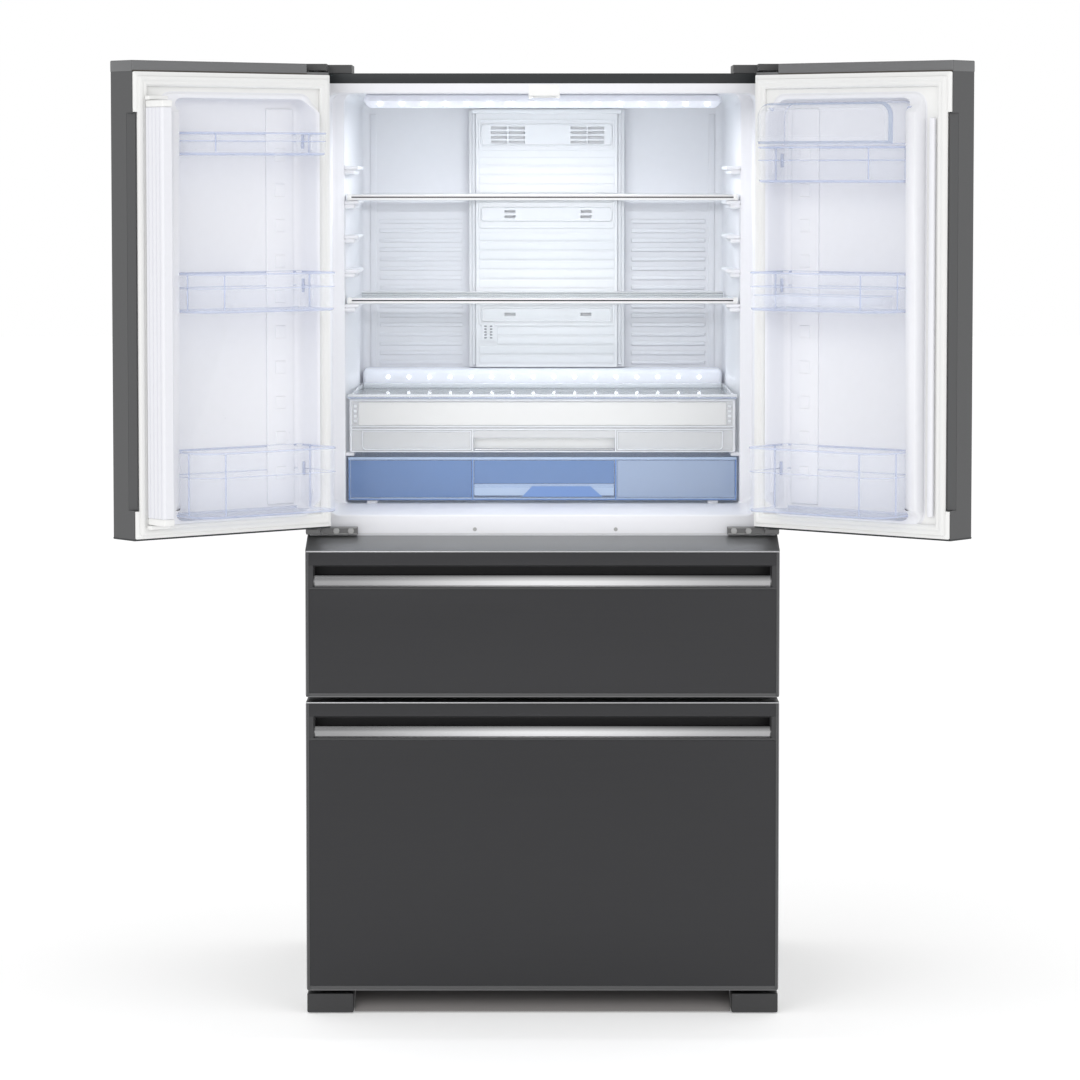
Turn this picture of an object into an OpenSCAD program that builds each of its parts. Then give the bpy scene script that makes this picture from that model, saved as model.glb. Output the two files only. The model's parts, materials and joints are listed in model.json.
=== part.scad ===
// French door refrigerator: two hinged doors above two full-width drawers.
// Millimetres, +Z up, fronts facing -Y. Inside the modules Y runs back from the plane of the drawer fronts,
// and the doors are drawn closed. place(), on_left_door() and on_right_door() put each piece where it stands.

/* [Cabinet] */
// Width across the cabinet and the drawers
body_w = 840; // [836:2:844]
// Height of the cabinet's top sheet above the floor
body_h = 1674; // [1672:1:1680]
// Depth from the drawer fronts to the back of the cabinet
body_d = 720; // [715:5:740]
// Depth of the doors and drawer fronts ahead of the cabinet's front edge
front_y = 78; // [78:1:80]

/* [Doors] */
// Angle at which both doors stand open
open_angle = 140; // [120:5:140]
// Thickness of the outer door pan
door_t = 66; // [64:1:66]
// Bottom edge of both doors above the floor
door_z0 = 870; // [868:1:870]
// Distance from the cabinet's side to the hinge pins
pin_inset = 12; // [12:1:14]

/* [Refrigerator compartment] */
// Height of the compartment's floor
floor_z = 898; // [896:1:898]
// Height between two shelf ledges
ledge_pitch = 62.3; // [60:0.1:64]
// Height of the lowest shelf ledge
ledge_z = 1260.9; // [1255:0.1:1262]

/* [Drawers] */
// Bottom and top of the upper drawer's front
upper_z = [569, 829];
// Bottom and top of the lower drawer's front
lower_z = [43, 560];
// Thickness of a drawer front
drawer_t = 70; // [66:1:70]

/* [Hidden] */
$fn = 48;

// Colours
graphite = [0.38, 0.39, 0.40];
drawer_grey = [0.28, 0.28, 0.29];
dark_trim = [0.20, 0.22, 0.23];
liner_white = [0.90, 0.90, 0.95];
gasket_white = [0.92, 0.92, 0.91];
clear_plastic = [0.78, 0.84, 0.96, 0.45];
blue_plastic = [0.36, 0.52, 0.82, 0.6];
glass_tint = [0.80, 0.90, 0.88, 0.4];
steel = [0.72, 0.73, 0.74];
foam = [0.93, 0.88, 0.70];
black_plastic = [0.10, 0.10, 0.11];

// Cabinet
half_w = body_w / 2;
skin_t = 1.2;
liner_t = 2;
gap = 0.5;
wall_x = 39;                      // width of the white flange beside the opening
opening_x = half_w - wall_x;
opening_z = [floor_z - 11, body_h - 36];
flange_z = [floor_z - 45, body_h - 18];
step_y = 190;                     // where the liner steps in
cavity_x = [opening_x - 24, opening_x - 35];
cavity_y = body_d - 90;
ceiling_z = body_h - 34;
shell_z0 = 36;
back_skin_y = body_d - 2;
slab_y = [front_y + 4, back_skin_y - 2];

// Fittings of the refrigerator compartment
ledge_x = cavity_x[0] - 25;       // inner edge of the shelf ledges
ledge_t = 8.1;
shelf_z = [ledge_z, ledge_z + 3 * ledge_pitch];
shelf_back_y = 585;
pane_z = [3, 8];                  // glass within the height of its rails
rail_t = 11;                      // height of a shelf rail
duct_x = [-140, 156];
duct_z = [1127, 1618];
duct_y = [cavity_y - 40, cavity_y - 26];
light_x = 328;
light_y = [step_y + 10, step_y + 50];
light_bar_x = 342;
light_bar_z = [1090, 1125];
guide_x = [-25, 31];
cover_z = 1088.8;                 // underside of the glass over the cases
chilled_z = [991, 1088];
cooling_z = [904, 982];
case_back_y = 558;
case_t = 3;
case_grip_x = [-125, 131];

// Machine compartment under the rear of the lower drawer
machine_y = 482;
machine_z = [47, 262];
tray_z = 44;
compressor_at = [-170, 600];
condenser_fan_at = [10, 610, 150];
condenser_fan_r = 62;
evaporator_fan_at = [8, 692, 600];
evaporator_fan_r = 52;
shaft_r = 3;                      // of both fans and of the flap and rack cover pins
inlet_x = [-390, -350];
inlet_z = [90, 118];

// Feet
foot_w = 83;
leg_x = half_w - 42;
leg_y = 46;
leg_r = 6;
pad_r = 20;
axle_y = 660;
axle_r = 6;
roller_r = 20;
roller_x = [328, 360];

// Drawer compartments
drawer_x = 372;
drawer_back_y = 640;
drawer_cavity_upper_z = [590, 822];
drawer_cavity_lower_z = [64, 551];
machine_step = [460, 268];        // Y and Z of the step in the lower drawer compartment
bin_x = 340;
bin_y = [drawer_t + 6, 600];
bin_t = 2.5;
upper_bin_z = [612, 800];
lower_bin_z = [82, 486];
bin_step = [440, 280];            // Y and Z of the step under the lower bin
tray_x = bin_x - 6;
tray_y = [84, 334];
tray_box_z = [424, 482];
slide_z = [700, 430];             // middle height of the slides of both drawers
slide_h = 20;
arm_h = 16;
upper_recess_z = [765, 803];
lower_recess_z = [496, 534];
gasket_y = [drawer_t, front_y - 0.5];
recess_x = 406;                   // half the length of a handle recess
recess_y = 30;                    // its depth

// Doors, drawn closed and on the left
hinge_x = half_w - pin_inset;
hinge_y = 30;
pin_r = 5;
fit = 0.08;                       // radial running clearance of every pin
door_x = [-half_w, -2];
door_z = [door_z0, body_h + 14];
door_liner_z = [door_z0 + 3, body_h - 5];
door_flange_y = door_t + 4;
notch_x = -half_w + 49;           // end of the lowered corner over the hinge
grip_z = [door_z0 + 52, body_h - 75];
dike_y = 110;
dike_z = [floor_z, body_h - 42];
pocket_x = [-half_w + 50, -77];
pocket_y = 45;
pocket_z = [floor_z + 2, body_h - 49];
dike_x = [-half_w + 43, -55];

// Mullion flap on the left door
flap_x = [-42, -20];
flap_y = [80, 130];
flap_z = [floor_z, body_h - 54];
flap_pin = [-25, 85];

// Racks in the doors, and the cover over the right upper rack
rack_x = [-half_w + 52, -77.5];
rack_y0 = pocket_y + 1;
rack_t = 2.5;
rack_r = [46, 20];                // front corners at the free edge and at the hinge
upper_racks_z = [[1527, 1567], [1480, 1543]];
middle_rack_z = [1258, 1326];
lower_rack_z = [907, 1021];
cover_pin = [88, 1608];
cover_z0 = 1546;
egg_x = [-360, -130];
egg_y = [52, 155];

// Largest forward reach of the open left door, which sets the centre of the footprint
function open_y(x, y) = hinge_y - sin(open_angle) * (x + hinge_x) + cos(open_angle) * (y - hinge_y);
y_min = min(open_y(door_x[1], 0), open_y(door_x[1], door_t), open_y(flap_x[1], flap_y[1]));
y_centre = (y_min + body_d) / 2;

// Half the compartment's width at a depth behind the liner's step
function cavity_half(y) = cavity_x[0] - (cavity_x[0] - cavity_x[1]) * (y - step_y) / (cavity_y - step_y);

// Points of an arc from angle a0 to a1
function arc(cx, cy, r, a0, a1, n = 6) = [for (i = [0:n]) let (a = a0 + (a1 - a0) * i / n)
    [cx + r * cos(a), cy + r * sin(a)]];

module place() translate([0, -y_centre, 0]) children();
module on_left_door() place() translate([-hinge_x, hinge_y, 0]) rotate([0, 0, -open_angle])
    translate([hinge_x, -hinge_y, 0]) children();
module on_right_door() mirror([1, 0, 0]) on_left_door() children();
module both_sides() {
    children();
    mirror([1, 0, 0]) children();
}

// A box between two values on each axis, and outlines extruded along Z, X and Y
module block(x, y, z) translate([x[0], y[0], z[0]]) cube([x[1] - x[0], y[1] - y[0], z[1] - z[0]]);
module plan(points, z) translate([0, 0, z[0]]) linear_extrude(z[1] - z[0]) polygon(points);
module side(points, x)
    translate([x[0], 0, 0]) rotate([90, 0, 90]) linear_extrude(x[1] - x[0]) polygon(points);
module front(points, y)
    translate([0, y[1], 0]) rotate([90, 0, 0]) linear_extrude(y[1] - y[0]) polygon(points);
module rod_x(x, y, z, r) translate([x[0], y, z]) rotate([0, 90, 0]) cylinder(h = x[1] - x[0], r = r);
module rod_y(x, y, z, r) translate([x, y[0], z]) rotate([-90, 0, 0]) cylinder(h = y[1] - y[0], r = r);
module rod_z(x, y, z, r) translate([x, y, z[0]]) cylinder(h = z[1] - z[0], r = r);
module ring(x, y, z, w) difference() {
    block(x, y, z);
    block([x[0] + w, x[1] - w], [y[0] - 1, y[1] + 1], [z[0] + w, z[1] - w]);
}

// ---- Cabinet ----

module cabinet_shell() color(graphite) place() {
    difference() {
        block([-half_w, half_w], [front_y, back_skin_y], [shell_z0, body_h]);
        block([-half_w + skin_t, half_w - skin_t], [front_y - 1, body_d], [shell_z0 - 1, body_h - skin_t]);
    }
    block([-half_w + skin_t, half_w - skin_t], [front_y, front_y + skin_t], [flange_z[1], body_h - skin_t]);
}

module rear_panel() color(steel) place()
    block([-half_w + skin_t, half_w - skin_t], [back_skin_y, body_d], [machine_z[1], body_h - skin_t]);

// Foam boards between the outer shell and the liners, one board to a wall
module insulation_panels() color(foam) place() {
    outer_x = half_w - skin_t - gap;
    top_z = [ceiling_z + liner_t + gap, body_h - skin_t - gap];
    rear_x = cavity_x[1] + liner_t + gap;
    side_z = [floor_z - 45, top_z[0] - gap];
    block([-outer_x, outer_x], slab_y, top_z);
    both_sides() {
        block([opening_x + liner_t + gap, outer_x], [slab_y[0], step_y + 2], side_z);
        plan([[cavity_x[0] + liner_t + gap + 0.5, step_y + 3], [outer_x, step_y + 3], [outer_x, slab_y[1]],
            [rear_x, slab_y[1]], [rear_x, cavity_y]], side_z);
        side_x = [drawer_x + liner_t + gap, outer_x];
        block(side_x, slab_y, [machine_z[1] + gap, side_z[0] - gap]);
        block(side_x, [slab_y[0], machine_y - gap], [42, machine_z[1]]);
        block([outer_x - 8, outer_x], [machine_y, slab_y[1]], [machine_z[0] + 1, machine_z[1]]);
    }
    inner_x = drawer_x + liner_t;
    block([-rear_x + gap, rear_x - gap], [cavity_y + liner_t + gap, slab_y[1]], side_z);
    block([-rear_x + gap, rear_x - gap], [slab_y[0], cavity_y + 1], [side_z[0], opening_z[0] - liner_t - 1]);
    block([-inner_x, inner_x], slab_y, [drawer_cavity_upper_z[1] + liner_t + gap, side_z[0] - gap]);
    block([-inner_x, inner_x], [slab_y[0], drawer_back_y], [drawer_cavity_lower_z[1] + liner_t + gap,
        drawer_cavity_upper_z[0] - liner_t - gap]);
    block([-inner_x, inner_x], [drawer_back_y + liner_t + gap, drawer_back_y + 10], [machine_step[1], 824]);
    block([-inner_x, inner_x], [slab_y[1] - 14, slab_y[1]], [machine_step[1], 824]);
    block([-inner_x, inner_x], [slab_y[0], machine_step[0] + 1],
        [42, drawer_cavity_lower_z[0] - liner_t - gap]);
    block([-inner_x, inner_x], [machine_step[0] + liner_t + gap, machine_y - gap], [42, machine_z[1]]);
}

// A rail along the right side wall, from x0 into the wall
module wall_rail(x0, y, z)
    plan([[x0, y[0]], [cavity_half(y[0]) + 1, y[0]], [cavity_half(y[1]) + 1, y[1]], [x0, y[1]]], z);

// White inner liner: front flange, stepped and tapered walls, shelf ledges and case runners
module fridge_liner() {
    cavity = [[-opening_x, front_y - 5], [opening_x, front_y - 5], [opening_x, step_y - 2],
        [cavity_x[0], step_y], [cavity_x[1], cavity_y], [-cavity_x[1], cavity_y], [-cavity_x[0], step_y],
        [-opening_x, step_y - 2]];
    outside = [[-opening_x - liner_t, front_y], [opening_x + liner_t, front_y],
        [opening_x + liner_t, step_y], [cavity_x[0] + liner_t, step_y + 2],
        [cavity_x[1] + liner_t, cavity_y + liner_t], [-cavity_x[1] - liner_t, cavity_y + liner_t],
        [-cavity_x[0] - liner_t, step_y + 2], [-opening_x - liner_t, step_y]];
    sill = [[front_y - 5, opening_z[0]], [front_y + 2, opening_z[0]], [step_y - 2, floor_z],
        [step_y - 2, floor_z + 2], [front_y - 5, floor_z + 2]];
    color(liner_white) place() {
        difference() {
            union() {
                block([-half_w + skin_t, half_w - skin_t], [front_y, front_y + 2.5], flange_z);
                plan(outside, [opening_z[0] - liner_t, ceiling_z + liner_t]);
            }
            plan(cavity, [floor_z, opening_z[1]]);
            plan([for (p = cavity) [p[0], max(p[1], front_y + 2.5)]], [floor_z, ceiling_z]);
            side(sill, [-opening_x, opening_x]);
            block(guide_x + [-0.2, 0.2], [front_y - 1, front_y + 4.2], [ceiling_z - 6.2, flange_z[1] + 0.2]);
        }
        both_sides() {
            for (k = [0:4]) wall_rail(ledge_x, [step_y + 1, step_y + 200],
                [ledge_z - ledge_t, ledge_z - 0.1] + [k, k] * ledge_pitch);
            wall_rail(cavity_x[0] - 16, [step_y + 12, step_y + 300],
                [chilled_z[0] - 7.6, chilled_z[0] - 0.4]);
            block([300, 320], [step_y + 12, step_y + 340], [floor_z - 1, cooling_z[0] - 0.4]);
        }
    }
}

// Liners of the two drawer compartments, the lower one stepped over the machine compartment
module drawer_liners() color(liner_white) place() {
    mid_z = (lower_z[1] + upper_z[0]) / 2;
    flange_x = half_w - skin_t;
    upper = drawer_cavity_upper_z;
    lower = drawer_cavity_lower_z;
    difference() {
        union() {
            block([-flange_x, flange_x], [front_y, front_y + 2.5], [mid_z + gap, flange_z[0] - gap]);
            block([-drawer_x - liner_t, drawer_x + liner_t], [front_y, drawer_back_y + liner_t],
                [upper[0] - liner_t, upper[1] + liner_t]);
        }
        block([-drawer_x, drawer_x], [front_y - 1, drawer_back_y], upper);
    }
    difference() {
        union() {
            block([-flange_x, flange_x], [front_y, front_y + 2.5], [shell_z0, mid_z]);
            side([[front_y, lower[0] - liner_t], [machine_step[0] + liner_t, lower[0] - liner_t],
                [machine_step[0] + liner_t, machine_step[1] - liner_t],
                [drawer_back_y + liner_t, machine_step[1] - liner_t],
                [drawer_back_y + liner_t, lower[1] + liner_t],
                [front_y, lower[1] + liner_t]], [-drawer_x - liner_t, drawer_x + liner_t]);
        }
        side([[front_y - 1, lower[0]], [machine_step[0], lower[0]], machine_step,
            [drawer_back_y, machine_step[1]], [drawer_back_y, lower[1]], [front_y - 1, lower[1]]],
            [-drawer_x, drawer_x]);
    }
}

// Cold air duct on the compartment's back wall, with three blocks of outlet slots
module air_duct_cover() color(liner_white) place() difference() {
    union() {
        block(duct_x, [duct_y[1], cavity_y - gap], duct_z);
        block(duct_x + [13, -13], duct_y, duct_z);
    }
    slot_y = [duct_y[0] - 1, duct_y[0] + 10];
    for (x = [-98, -64, 54, 87], z = [1556:9:1583]) block([x, x + 30], slot_y, [z - 2.5, z + 2.5]);
    for (x = [-72, 73], z = [1414, 1424]) block([x, x + 20], slot_y, [z - 2.5, z + 2.5]);
    for (x = [-72, 73]) block([x, x + 20], slot_y, [1225, 1231]);
}

module sensor_cover() color(liner_white) place() difference() {
    block([-116, -91], [duct_y[0] - 5, duct_y[0] - 0.2], [1178, 1211]);
    for (x = [-107, -100], z = [1184:7:1205]) rod_y(x, [duct_y[0] - 6, duct_y[0] - 2], z, 1.6);
}

// Light strip under the ceiling and light bar behind the crisper cover
module compartment_lights() color(gasket_white) place() {
    half = [[light_x - 10, ceiling_z - 27], [light_x, ceiling_z - 16], [light_x - 18, ceiling_z - gap]];
    front(concat(half, [for (k = [2:-1:0]) [-half[k][0], half[k][1]]]), light_y);
    block([-light_bar_x, light_bar_x], [cavity_y - 68, cavity_y - gap], light_bar_z);
}

module flap_guide() color(gasket_white) place() difference() {
    union() {
        block(guide_x, [front_y, front_y + 4], [ceiling_z - 6, flange_z[1]]);
        block(guide_x, [front_y + 4, 115], [ceiling_z - 10, ceiling_z - 0.3]);
    }
    plan(concat(arc(-14, 100, 5, 180, 360), [[-9, 120], [-19, 120]]), [ceiling_z - 11, ceiling_z - 4]);
}

// Hinge plates on top of the cabinet and under the doors, each with its pin
module door_hinges() color(steel) place() both_sides() {
    block([-half_w + 3, -half_w + 75], [front_y + 2, 165], [body_h + 0.2, body_h + 3.2]);
    block([-half_w + 3, -half_w + 25], [14, front_y + 2], [body_h + 3.2, body_h + 7.2]);
    block([-half_w + 3, -half_w + 25], [front_y + 2, front_y + 40], [body_h + 3.2, body_h + 7.2]);
    rod_z(-hinge_x, hinge_y, [body_h - 19, body_h + 3.2], pin_r);
    block([-half_w - 2, -half_w + 90], [front_y - 16, front_y - 0.3], [flange_z[0], flange_z[0] + 13]);
    block([-half_w, -half_w + 25], [16, front_y - 16], [flange_z[0] + 6, flange_z[0] + 13]);
    rod_z(-hinge_x, hinge_y, [flange_z[0] + 13, flange_z[0] + 31], pin_r);
}

module hinge_covers() color(dark_trim) place() both_sides() difference() {
    union() {
        block([-half_w, -half_w + 81], [front_y, 180], [body_h + 0.2, body_h + 15]);
        block([-half_w, -half_w + 40], [10, front_y], [body_h + 3, body_h + 15]);
    }
    block([-half_w + 2, -half_w + 79], [front_y + 1, 178], [body_h - 1, body_h + 12]);
    block([-half_w + 2, -half_w + 38], [12, front_y + 2], [body_h - 1, body_h + 12]);
}

// Screws of the hinge plates and of the sill
module hinge_screws() color(steel) place() {
    both_sides() {
        for (x = [-half_w + 52, -half_w + 78])
            rod_y(x, [front_y - 18, front_y - 16], flange_z[0] + 6.5, 4);
        for (y = [100, 140], x = [-half_w + 36, -half_w + 62]) rod_z(x, y, [body_h + 3.2, body_h + 6.5], 5);
    }
    for (x = [-121, 131]) rod_y(x, [front_y - 0.4, front_y], flange_z[0] + 8, 3.5);
}

// ---- Inside the refrigerator compartment ----

// A plate as wide as the compartment, 3 mm clear of its tapered side walls
module shelf_plan(y, z) {
    w = [cavity_half(y[0]) - 3, cavity_half(y[1]) - 3];
    plan([[-w[0], y[0]], [w[0], y[0]], [w[1], y[1]], [-w[1], y[1]]], z);
}

module shelf_glass_panes() color(glass_tint) place()
    for (z = shelf_z) shelf_plan([step_y + 10.2, shelf_back_y - 8.2], pane_z + [z, z]);

// Rails along the front and back edges of both panes, each with a groove for the glass
module shelf_trims() color(steel) place() for (z = shelf_z) {
    groove_z = pane_z + [z - 0.2, z + 0.2];
    difference() {
        shelf_plan([step_y + 1, step_y + 16], [z, z + rail_t]);
        block([-half_w, half_w], [step_y + 10, step_y + 17], groove_z);
    }
    difference() {
        shelf_plan([shelf_back_y - 15, shelf_back_y], [z, z + rail_t]);
        block([-half_w, half_w], [shelf_back_y - 16, shelf_back_y - 8], groove_z);
    }
}

module crisper_cover() color(glass_tint) place() {
    shelf_plan([step_y + 12, case_back_y - 6], [cover_z + 0.8, cover_z + 5.8]);
    shelf_plan([step_y + 2, step_y + 12], [cover_z, cover_z + 7.2]);
}

// An open case with tapered sides and a finger recess in the middle of its front
module sliding_case(half_front, half_back, y, z, grip_h) {
    t = case_t;
    difference() {
        union() {
            difference() {
                plan([[-half_front, y[0]], [half_front, y[0]], [half_back, y[1]], [-half_back, y[1]]], z);
                plan([[-half_front + t, y[0] + t], [half_front - t, y[0] + t], [half_back - t, y[1] - t],
                    [-half_back + t, y[1] - t]], [z[0] + t, z[1] + 1]);
            }
            block(case_grip_x + [-t, t], [y[0] + 1, y[0] + 16 + t], [z[0], z[0] + grip_h + t]);
        }
        block(case_grip_x, [y[0] - 1, y[0] + 16], [z[0] - 1, z[0] + grip_h]);
    }
}
module chilled_case() color(clear_plastic) place()
    sliding_case(cavity_x[0] - 7, cavity_x[1] - 6, [step_y + 10, case_back_y], chilled_z, 25);
module cooling_case() color(blue_plastic) place()
    sliding_case(cavity_x[0] - 4, cavity_x[1] - 5, [step_y + 8, case_back_y], cooling_z, 22);

// ---- Drawer slides, feet and base ----

module cabinet_slides() color(steel) place() both_sides() for (z = slide_z)
    block([drawer_x - 9.5, drawer_x - gap], [front_y + 6, 620], [z - slide_h, z + slide_h]);

module foot_covers() color(graphite) place() both_sides() difference() {
    side([[6, 1.5], [80, 1.5], [116, 20], [116, shell_z0], [6, shell_z0]], [half_w - foot_w, half_w]);
    rod_z(leg_x, leg_y, [0, 12], pad_r + 2.3);
    rod_z(leg_x, leg_y, [-1, shell_z0 + 1], leg_r + fit);
}

module levelling_leg() {
    rod_z(leg_x, leg_y, [0, 8], pad_r);
    rod_z(leg_x, leg_y, [8, shell_z0 + 5], leg_r);
}
module left_levelling_leg() color(black_plastic) place() mirror([1, 0, 0]) levelling_leg();
module right_levelling_leg() color(black_plastic) place() levelling_leg();

// Face that slopes forward to the floor between the feet, with a flange below the cabinet
module kick_plate() color([0.42, 0.40, 0.39]) place() {
    kick_x = [-half_w + foot_w + 1, half_w - foot_w - 1];
    side([[10, 3], [16, 3], [81, shell_z0], [75, shell_z0]], kick_x);
    block(kick_x, [75, 116], [shell_z0 - 3, shell_z0]);
}

// Steel tray that carries the compressor, with the ears of the roller axle below it
module base_tray() color(steel) place() {
    block([-half_w + 12, half_w - 12], [machine_y, slab_y[1]], [tray_z, machine_z[0]]);
    both_sides() for (x = [roller_x[0] - 10, roller_x[1] + 6]) difference() {
        block([x, x + 4], [axle_y - 28, axle_y + 28], [8, tray_z]);
        rod_x([x - 1, x + 5], axle_y, roller_r, axle_r + fit);
    }
}

module rear_rollers() color(black_plastic) place() {
    rod_x([-roller_x[1] - 14, roller_x[1] + 14], axle_y, roller_r, axle_r);
    both_sides() rod_x(roller_x, axle_y, roller_r, roller_r);
}

// ---- Cooling system ----

// A domed shell with a flange, on a foot plate with four rubber mounts, and its terminal cover
module compressor() color(black_plastic) place() translate([compressor_at[0], compressor_at[1], 0]) {
    rotate_extrude() polygon(concat([[0, 68]], arc(30, 113, 45, -90, 0),
        [[78, 113], [78, 185]], arc(30, 185, 45, 0, 90), [[0, 230]]));
    block([-85, 85], [-70, 70], [60, 68.5]);
    for (x = [-75, 75], y = [-60, 60]) rod_z(x, y, [machine_z[0] + 0.2, 60], 10);
    block([-95, -70], [-25, 25], [110, 160]);
}

// A finned tube bundle
module finned_coil(x, y, z, pitch) {
    for (px = [x[0] + 12:pitch:x[1] - 12]) block([px, px + 1.2], y, z);
    for (py = [y[0] + 14, y[1] - 14], pz = [z[0] + 15:30:z[1] - 10]) rod_x([x[0], x[1]], py, pz, 4.5);
}
module condenser_coil() color(black_plastic) place() finned_coil([70, 330], [530, 690], [84, 214], 14);
module evaporator() color(steel) place() finned_coil([-250, 250], [654, 698], [300, 480], 20);

module drip_tray() color(dark_trim) place() difference() {
    block([62, 340], [520, 700], [54, 76]);
    block([64, 338], [522, 698], [56, 77]);
}

// Square fan frame across X, with three spokes, a motor and its shaft
module fan_frame(r) difference() {
    union() {
        difference() {
            block([0, 24], [-r - 12, r + 12], [-r - 12, r + 12]);
            rod_x([-1, 25], 0, 0, r + 4);
        }
        for (a = [90, 210, 330]) rotate([a, 0, 0]) block([0, 4], [-3, 3], [0, r + 6]);
        rod_x([0, 8], 0, 0, 16);
        rod_x([8, 22], 0, 0, shaft_r);
    }
}
module fan_rotor(r) difference() {
    union() {
        rod_x([9, 21], 0, 0, 15);
        for (a = [0:60:300]) rotate([a, 0, 0]) translate([15, 0, 12]) rotate([0, 0, 28])
            block([-1, 1], [-16, 16], [0, r - 14]);
    }
    rod_x([8, 22], 0, 0, shaft_r + fit);
}
module condenser_fan_shroud() color(dark_trim) place() translate(condenser_fan_at) fan_frame(condenser_fan_r);
module condenser_fan() color(black_plastic) place() translate(condenser_fan_at) fan_rotor(condenser_fan_r);
module facing_front() translate(evaporator_fan_at) rotate([0, 0, -90]) children();
module evaporator_fan_shroud() color(liner_white) place() facing_front() fan_frame(evaporator_fan_r);
module evaporator_fan() color(liner_white) place() facing_front() fan_rotor(evaporator_fan_r);

module control_board_box() color(gasket_white) place() {
    block([-400, -300], [500, 700], [60, 200]);
    block([-396, -304], [504, 696], [200, 206]);
}

// Rear cover of the machine compartment, with louvres and the opening for the power inlet
module machine_cover() color(dark_trim) place() difference() {
    block([-half_w + 3, half_w - 3], [back_skin_y - 1, body_d], [machine_z[0] + 1, machine_z[1] - gap]);
    for (x = [-200, 40, 130, 220], z = [80:14:220]) block([x, x + 70], [body_d - 5, body_d + 1], [z, z + 5]);
    block(inlet_x, [body_d - 5, body_d + 1], inlet_z);
}
module power_inlet() color(black_plastic) place() difference() {
    block(inlet_x + [gap, -gap], [body_d - 16, body_d], inlet_z + [gap, -gap]);
    block(inlet_x + [7, -7], [body_d - 13, body_d + 1], inlet_z + [6, -6]);
}

// ---- Doors ----

// Painted pan with a thick top cap, a lowered hinge corner and a grip channel in its free edge
module door_skin() difference() {
    union() {
        difference() {
            plan(concat(arc(door_x[0] + 5, 5, 5, 180, 270), arc(door_x[1] - 4, 4, 4, 270, 360),
                [[door_x[1], door_t], [door_x[0], door_t]]), door_z);
            block([door_x[0] + skin_t, door_x[1] - skin_t], [skin_t, door_t + 1], door_liner_z);
        }
        block([-11, -2], [48, door_t], grip_z + [-1.2, 1.2]);
    }
    block([-9.8, -1], [49.2, door_t + 1], grip_z);
    block([-half_w - 1, notch_x], [-1, door_t + 1], [body_h, body_h + 20]);
    rod_z(-hinge_x, hinge_y, [door_z0 - 1, body_h + 20], pin_r + fit);
}

// White inner liner with the foam behind it: border, rack pocket and the two upright dikes
module door_liner() difference() {
    union() {
        block([door_x[0] + skin_t + 0.4, door_x[1] - skin_t - 0.4], [skin_t + 0.4, door_t],
            door_liner_z + [0.4, -0.4]);
        block([door_x[0] + 1, door_x[1] - 1], [door_t, door_flange_y], door_liner_z);
        for (x = [[dike_x[0], pocket_x[0]], [pocket_x[1], dike_x[1]]]) block(x, [door_t, dike_y], dike_z);
    }
    block(pocket_x, [pocket_y, door_flange_y + 1], pocket_z);
    block([-11.4, -1], [47.6, door_flange_y + 1], grip_z + [-1.6, 1.6]);
    for (z = [[door_z0, door_z0 + 34], [body_h - 24, body_h]]) rod_z(-hinge_x, hinge_y, z, pin_r + 4);
}

module left_door_skin() color(graphite) on_left_door() door_skin();
module right_door_skin() color(graphite) on_right_door() door_skin();

module left_door_liner() color(liner_white) on_left_door() {
    door_liner();
    for (z = [flap_z[0] - 8, flap_z[1] + 1]) block([dike_x[1] - 5, -19], [79, 91], [z, z + 7]);
    rod_z(flap_pin[0], flap_pin[1], [flap_z[0] - 2, flap_z[0] + 18], shaft_r);
    rod_z(flap_pin[0], flap_pin[1], [flap_z[1] - 18, flap_z[1] + 2], shaft_r);
}
module right_door_liner() color(liner_white) on_right_door() difference() {
    union() {
        door_liner();
        block([-42, -32], [door_t + 2, 80], [910, 1591]);
    }
    rod_x([pocket_x[0] - 8, pocket_x[0] + 2], cover_pin[0], cover_pin[1], shaft_r + fit);
    rod_x([pocket_x[1] - 1, pocket_x[1] + 9], cover_pin[0], cover_pin[1], shaft_r + fit);
}

module door_gasket()
    ring([door_x[0] + 8, -10], [door_flange_y, gasket_y[1]], [door_z0 + 9, flange_z[1] + 6], 18);
module left_door_gasket() color(gasket_white) on_left_door() door_gasket();
module right_door_gasket() color(gasket_white) on_right_door() door_gasket();

// Open door rack with rounded front corners, the wider one at the door's free edge
function rack_outline(y1, e) = concat([[rack_x[0] + e, rack_y0 + e], [rack_x[1] - e, rack_y0 + e]],
    arc(rack_x[1] - rack_r[0], y1 - rack_r[0], rack_r[0] - e, 0, 90),
    arc(rack_x[0] + rack_r[1], y1 - rack_r[1], rack_r[1] - e, 90, 180));
module rack(y1, z) difference() {
    plan(rack_outline(y1, 0), z);
    plan(rack_outline(y1, rack_t), [z[0] + rack_t, z[1] + 1]);
}
module left_upper_rack() color(clear_plastic) on_left_door() rack(140, upper_racks_z[0]);
module left_middle_rack() color(clear_plastic) on_left_door() rack(164, middle_rack_z);
module left_lower_rack() color(clear_plastic) on_left_door() rack(165, lower_rack_z);
module right_upper_rack() color(clear_plastic) on_right_door() rack(142, upper_racks_z[1]);
module right_middle_rack() color(clear_plastic) on_right_door() rack(164, middle_rack_z);
module right_lower_rack() color(clear_plastic) on_right_door() rack(165, lower_rack_z);

// Tray with two troughs for eggs, standing in the right middle rack
module egg_tray() color(clear_plastic) on_right_door() difference() {
    z0 = middle_rack_z[0] + 4;
    block(egg_x, egg_y, [z0, z0 + 24]);
    for (y = [[egg_y[0] + 4, 102], [106, egg_y[1] - 4]]) block(egg_x + [4, -4], y, [z0 + 3, z0 + 25]);
}

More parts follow.
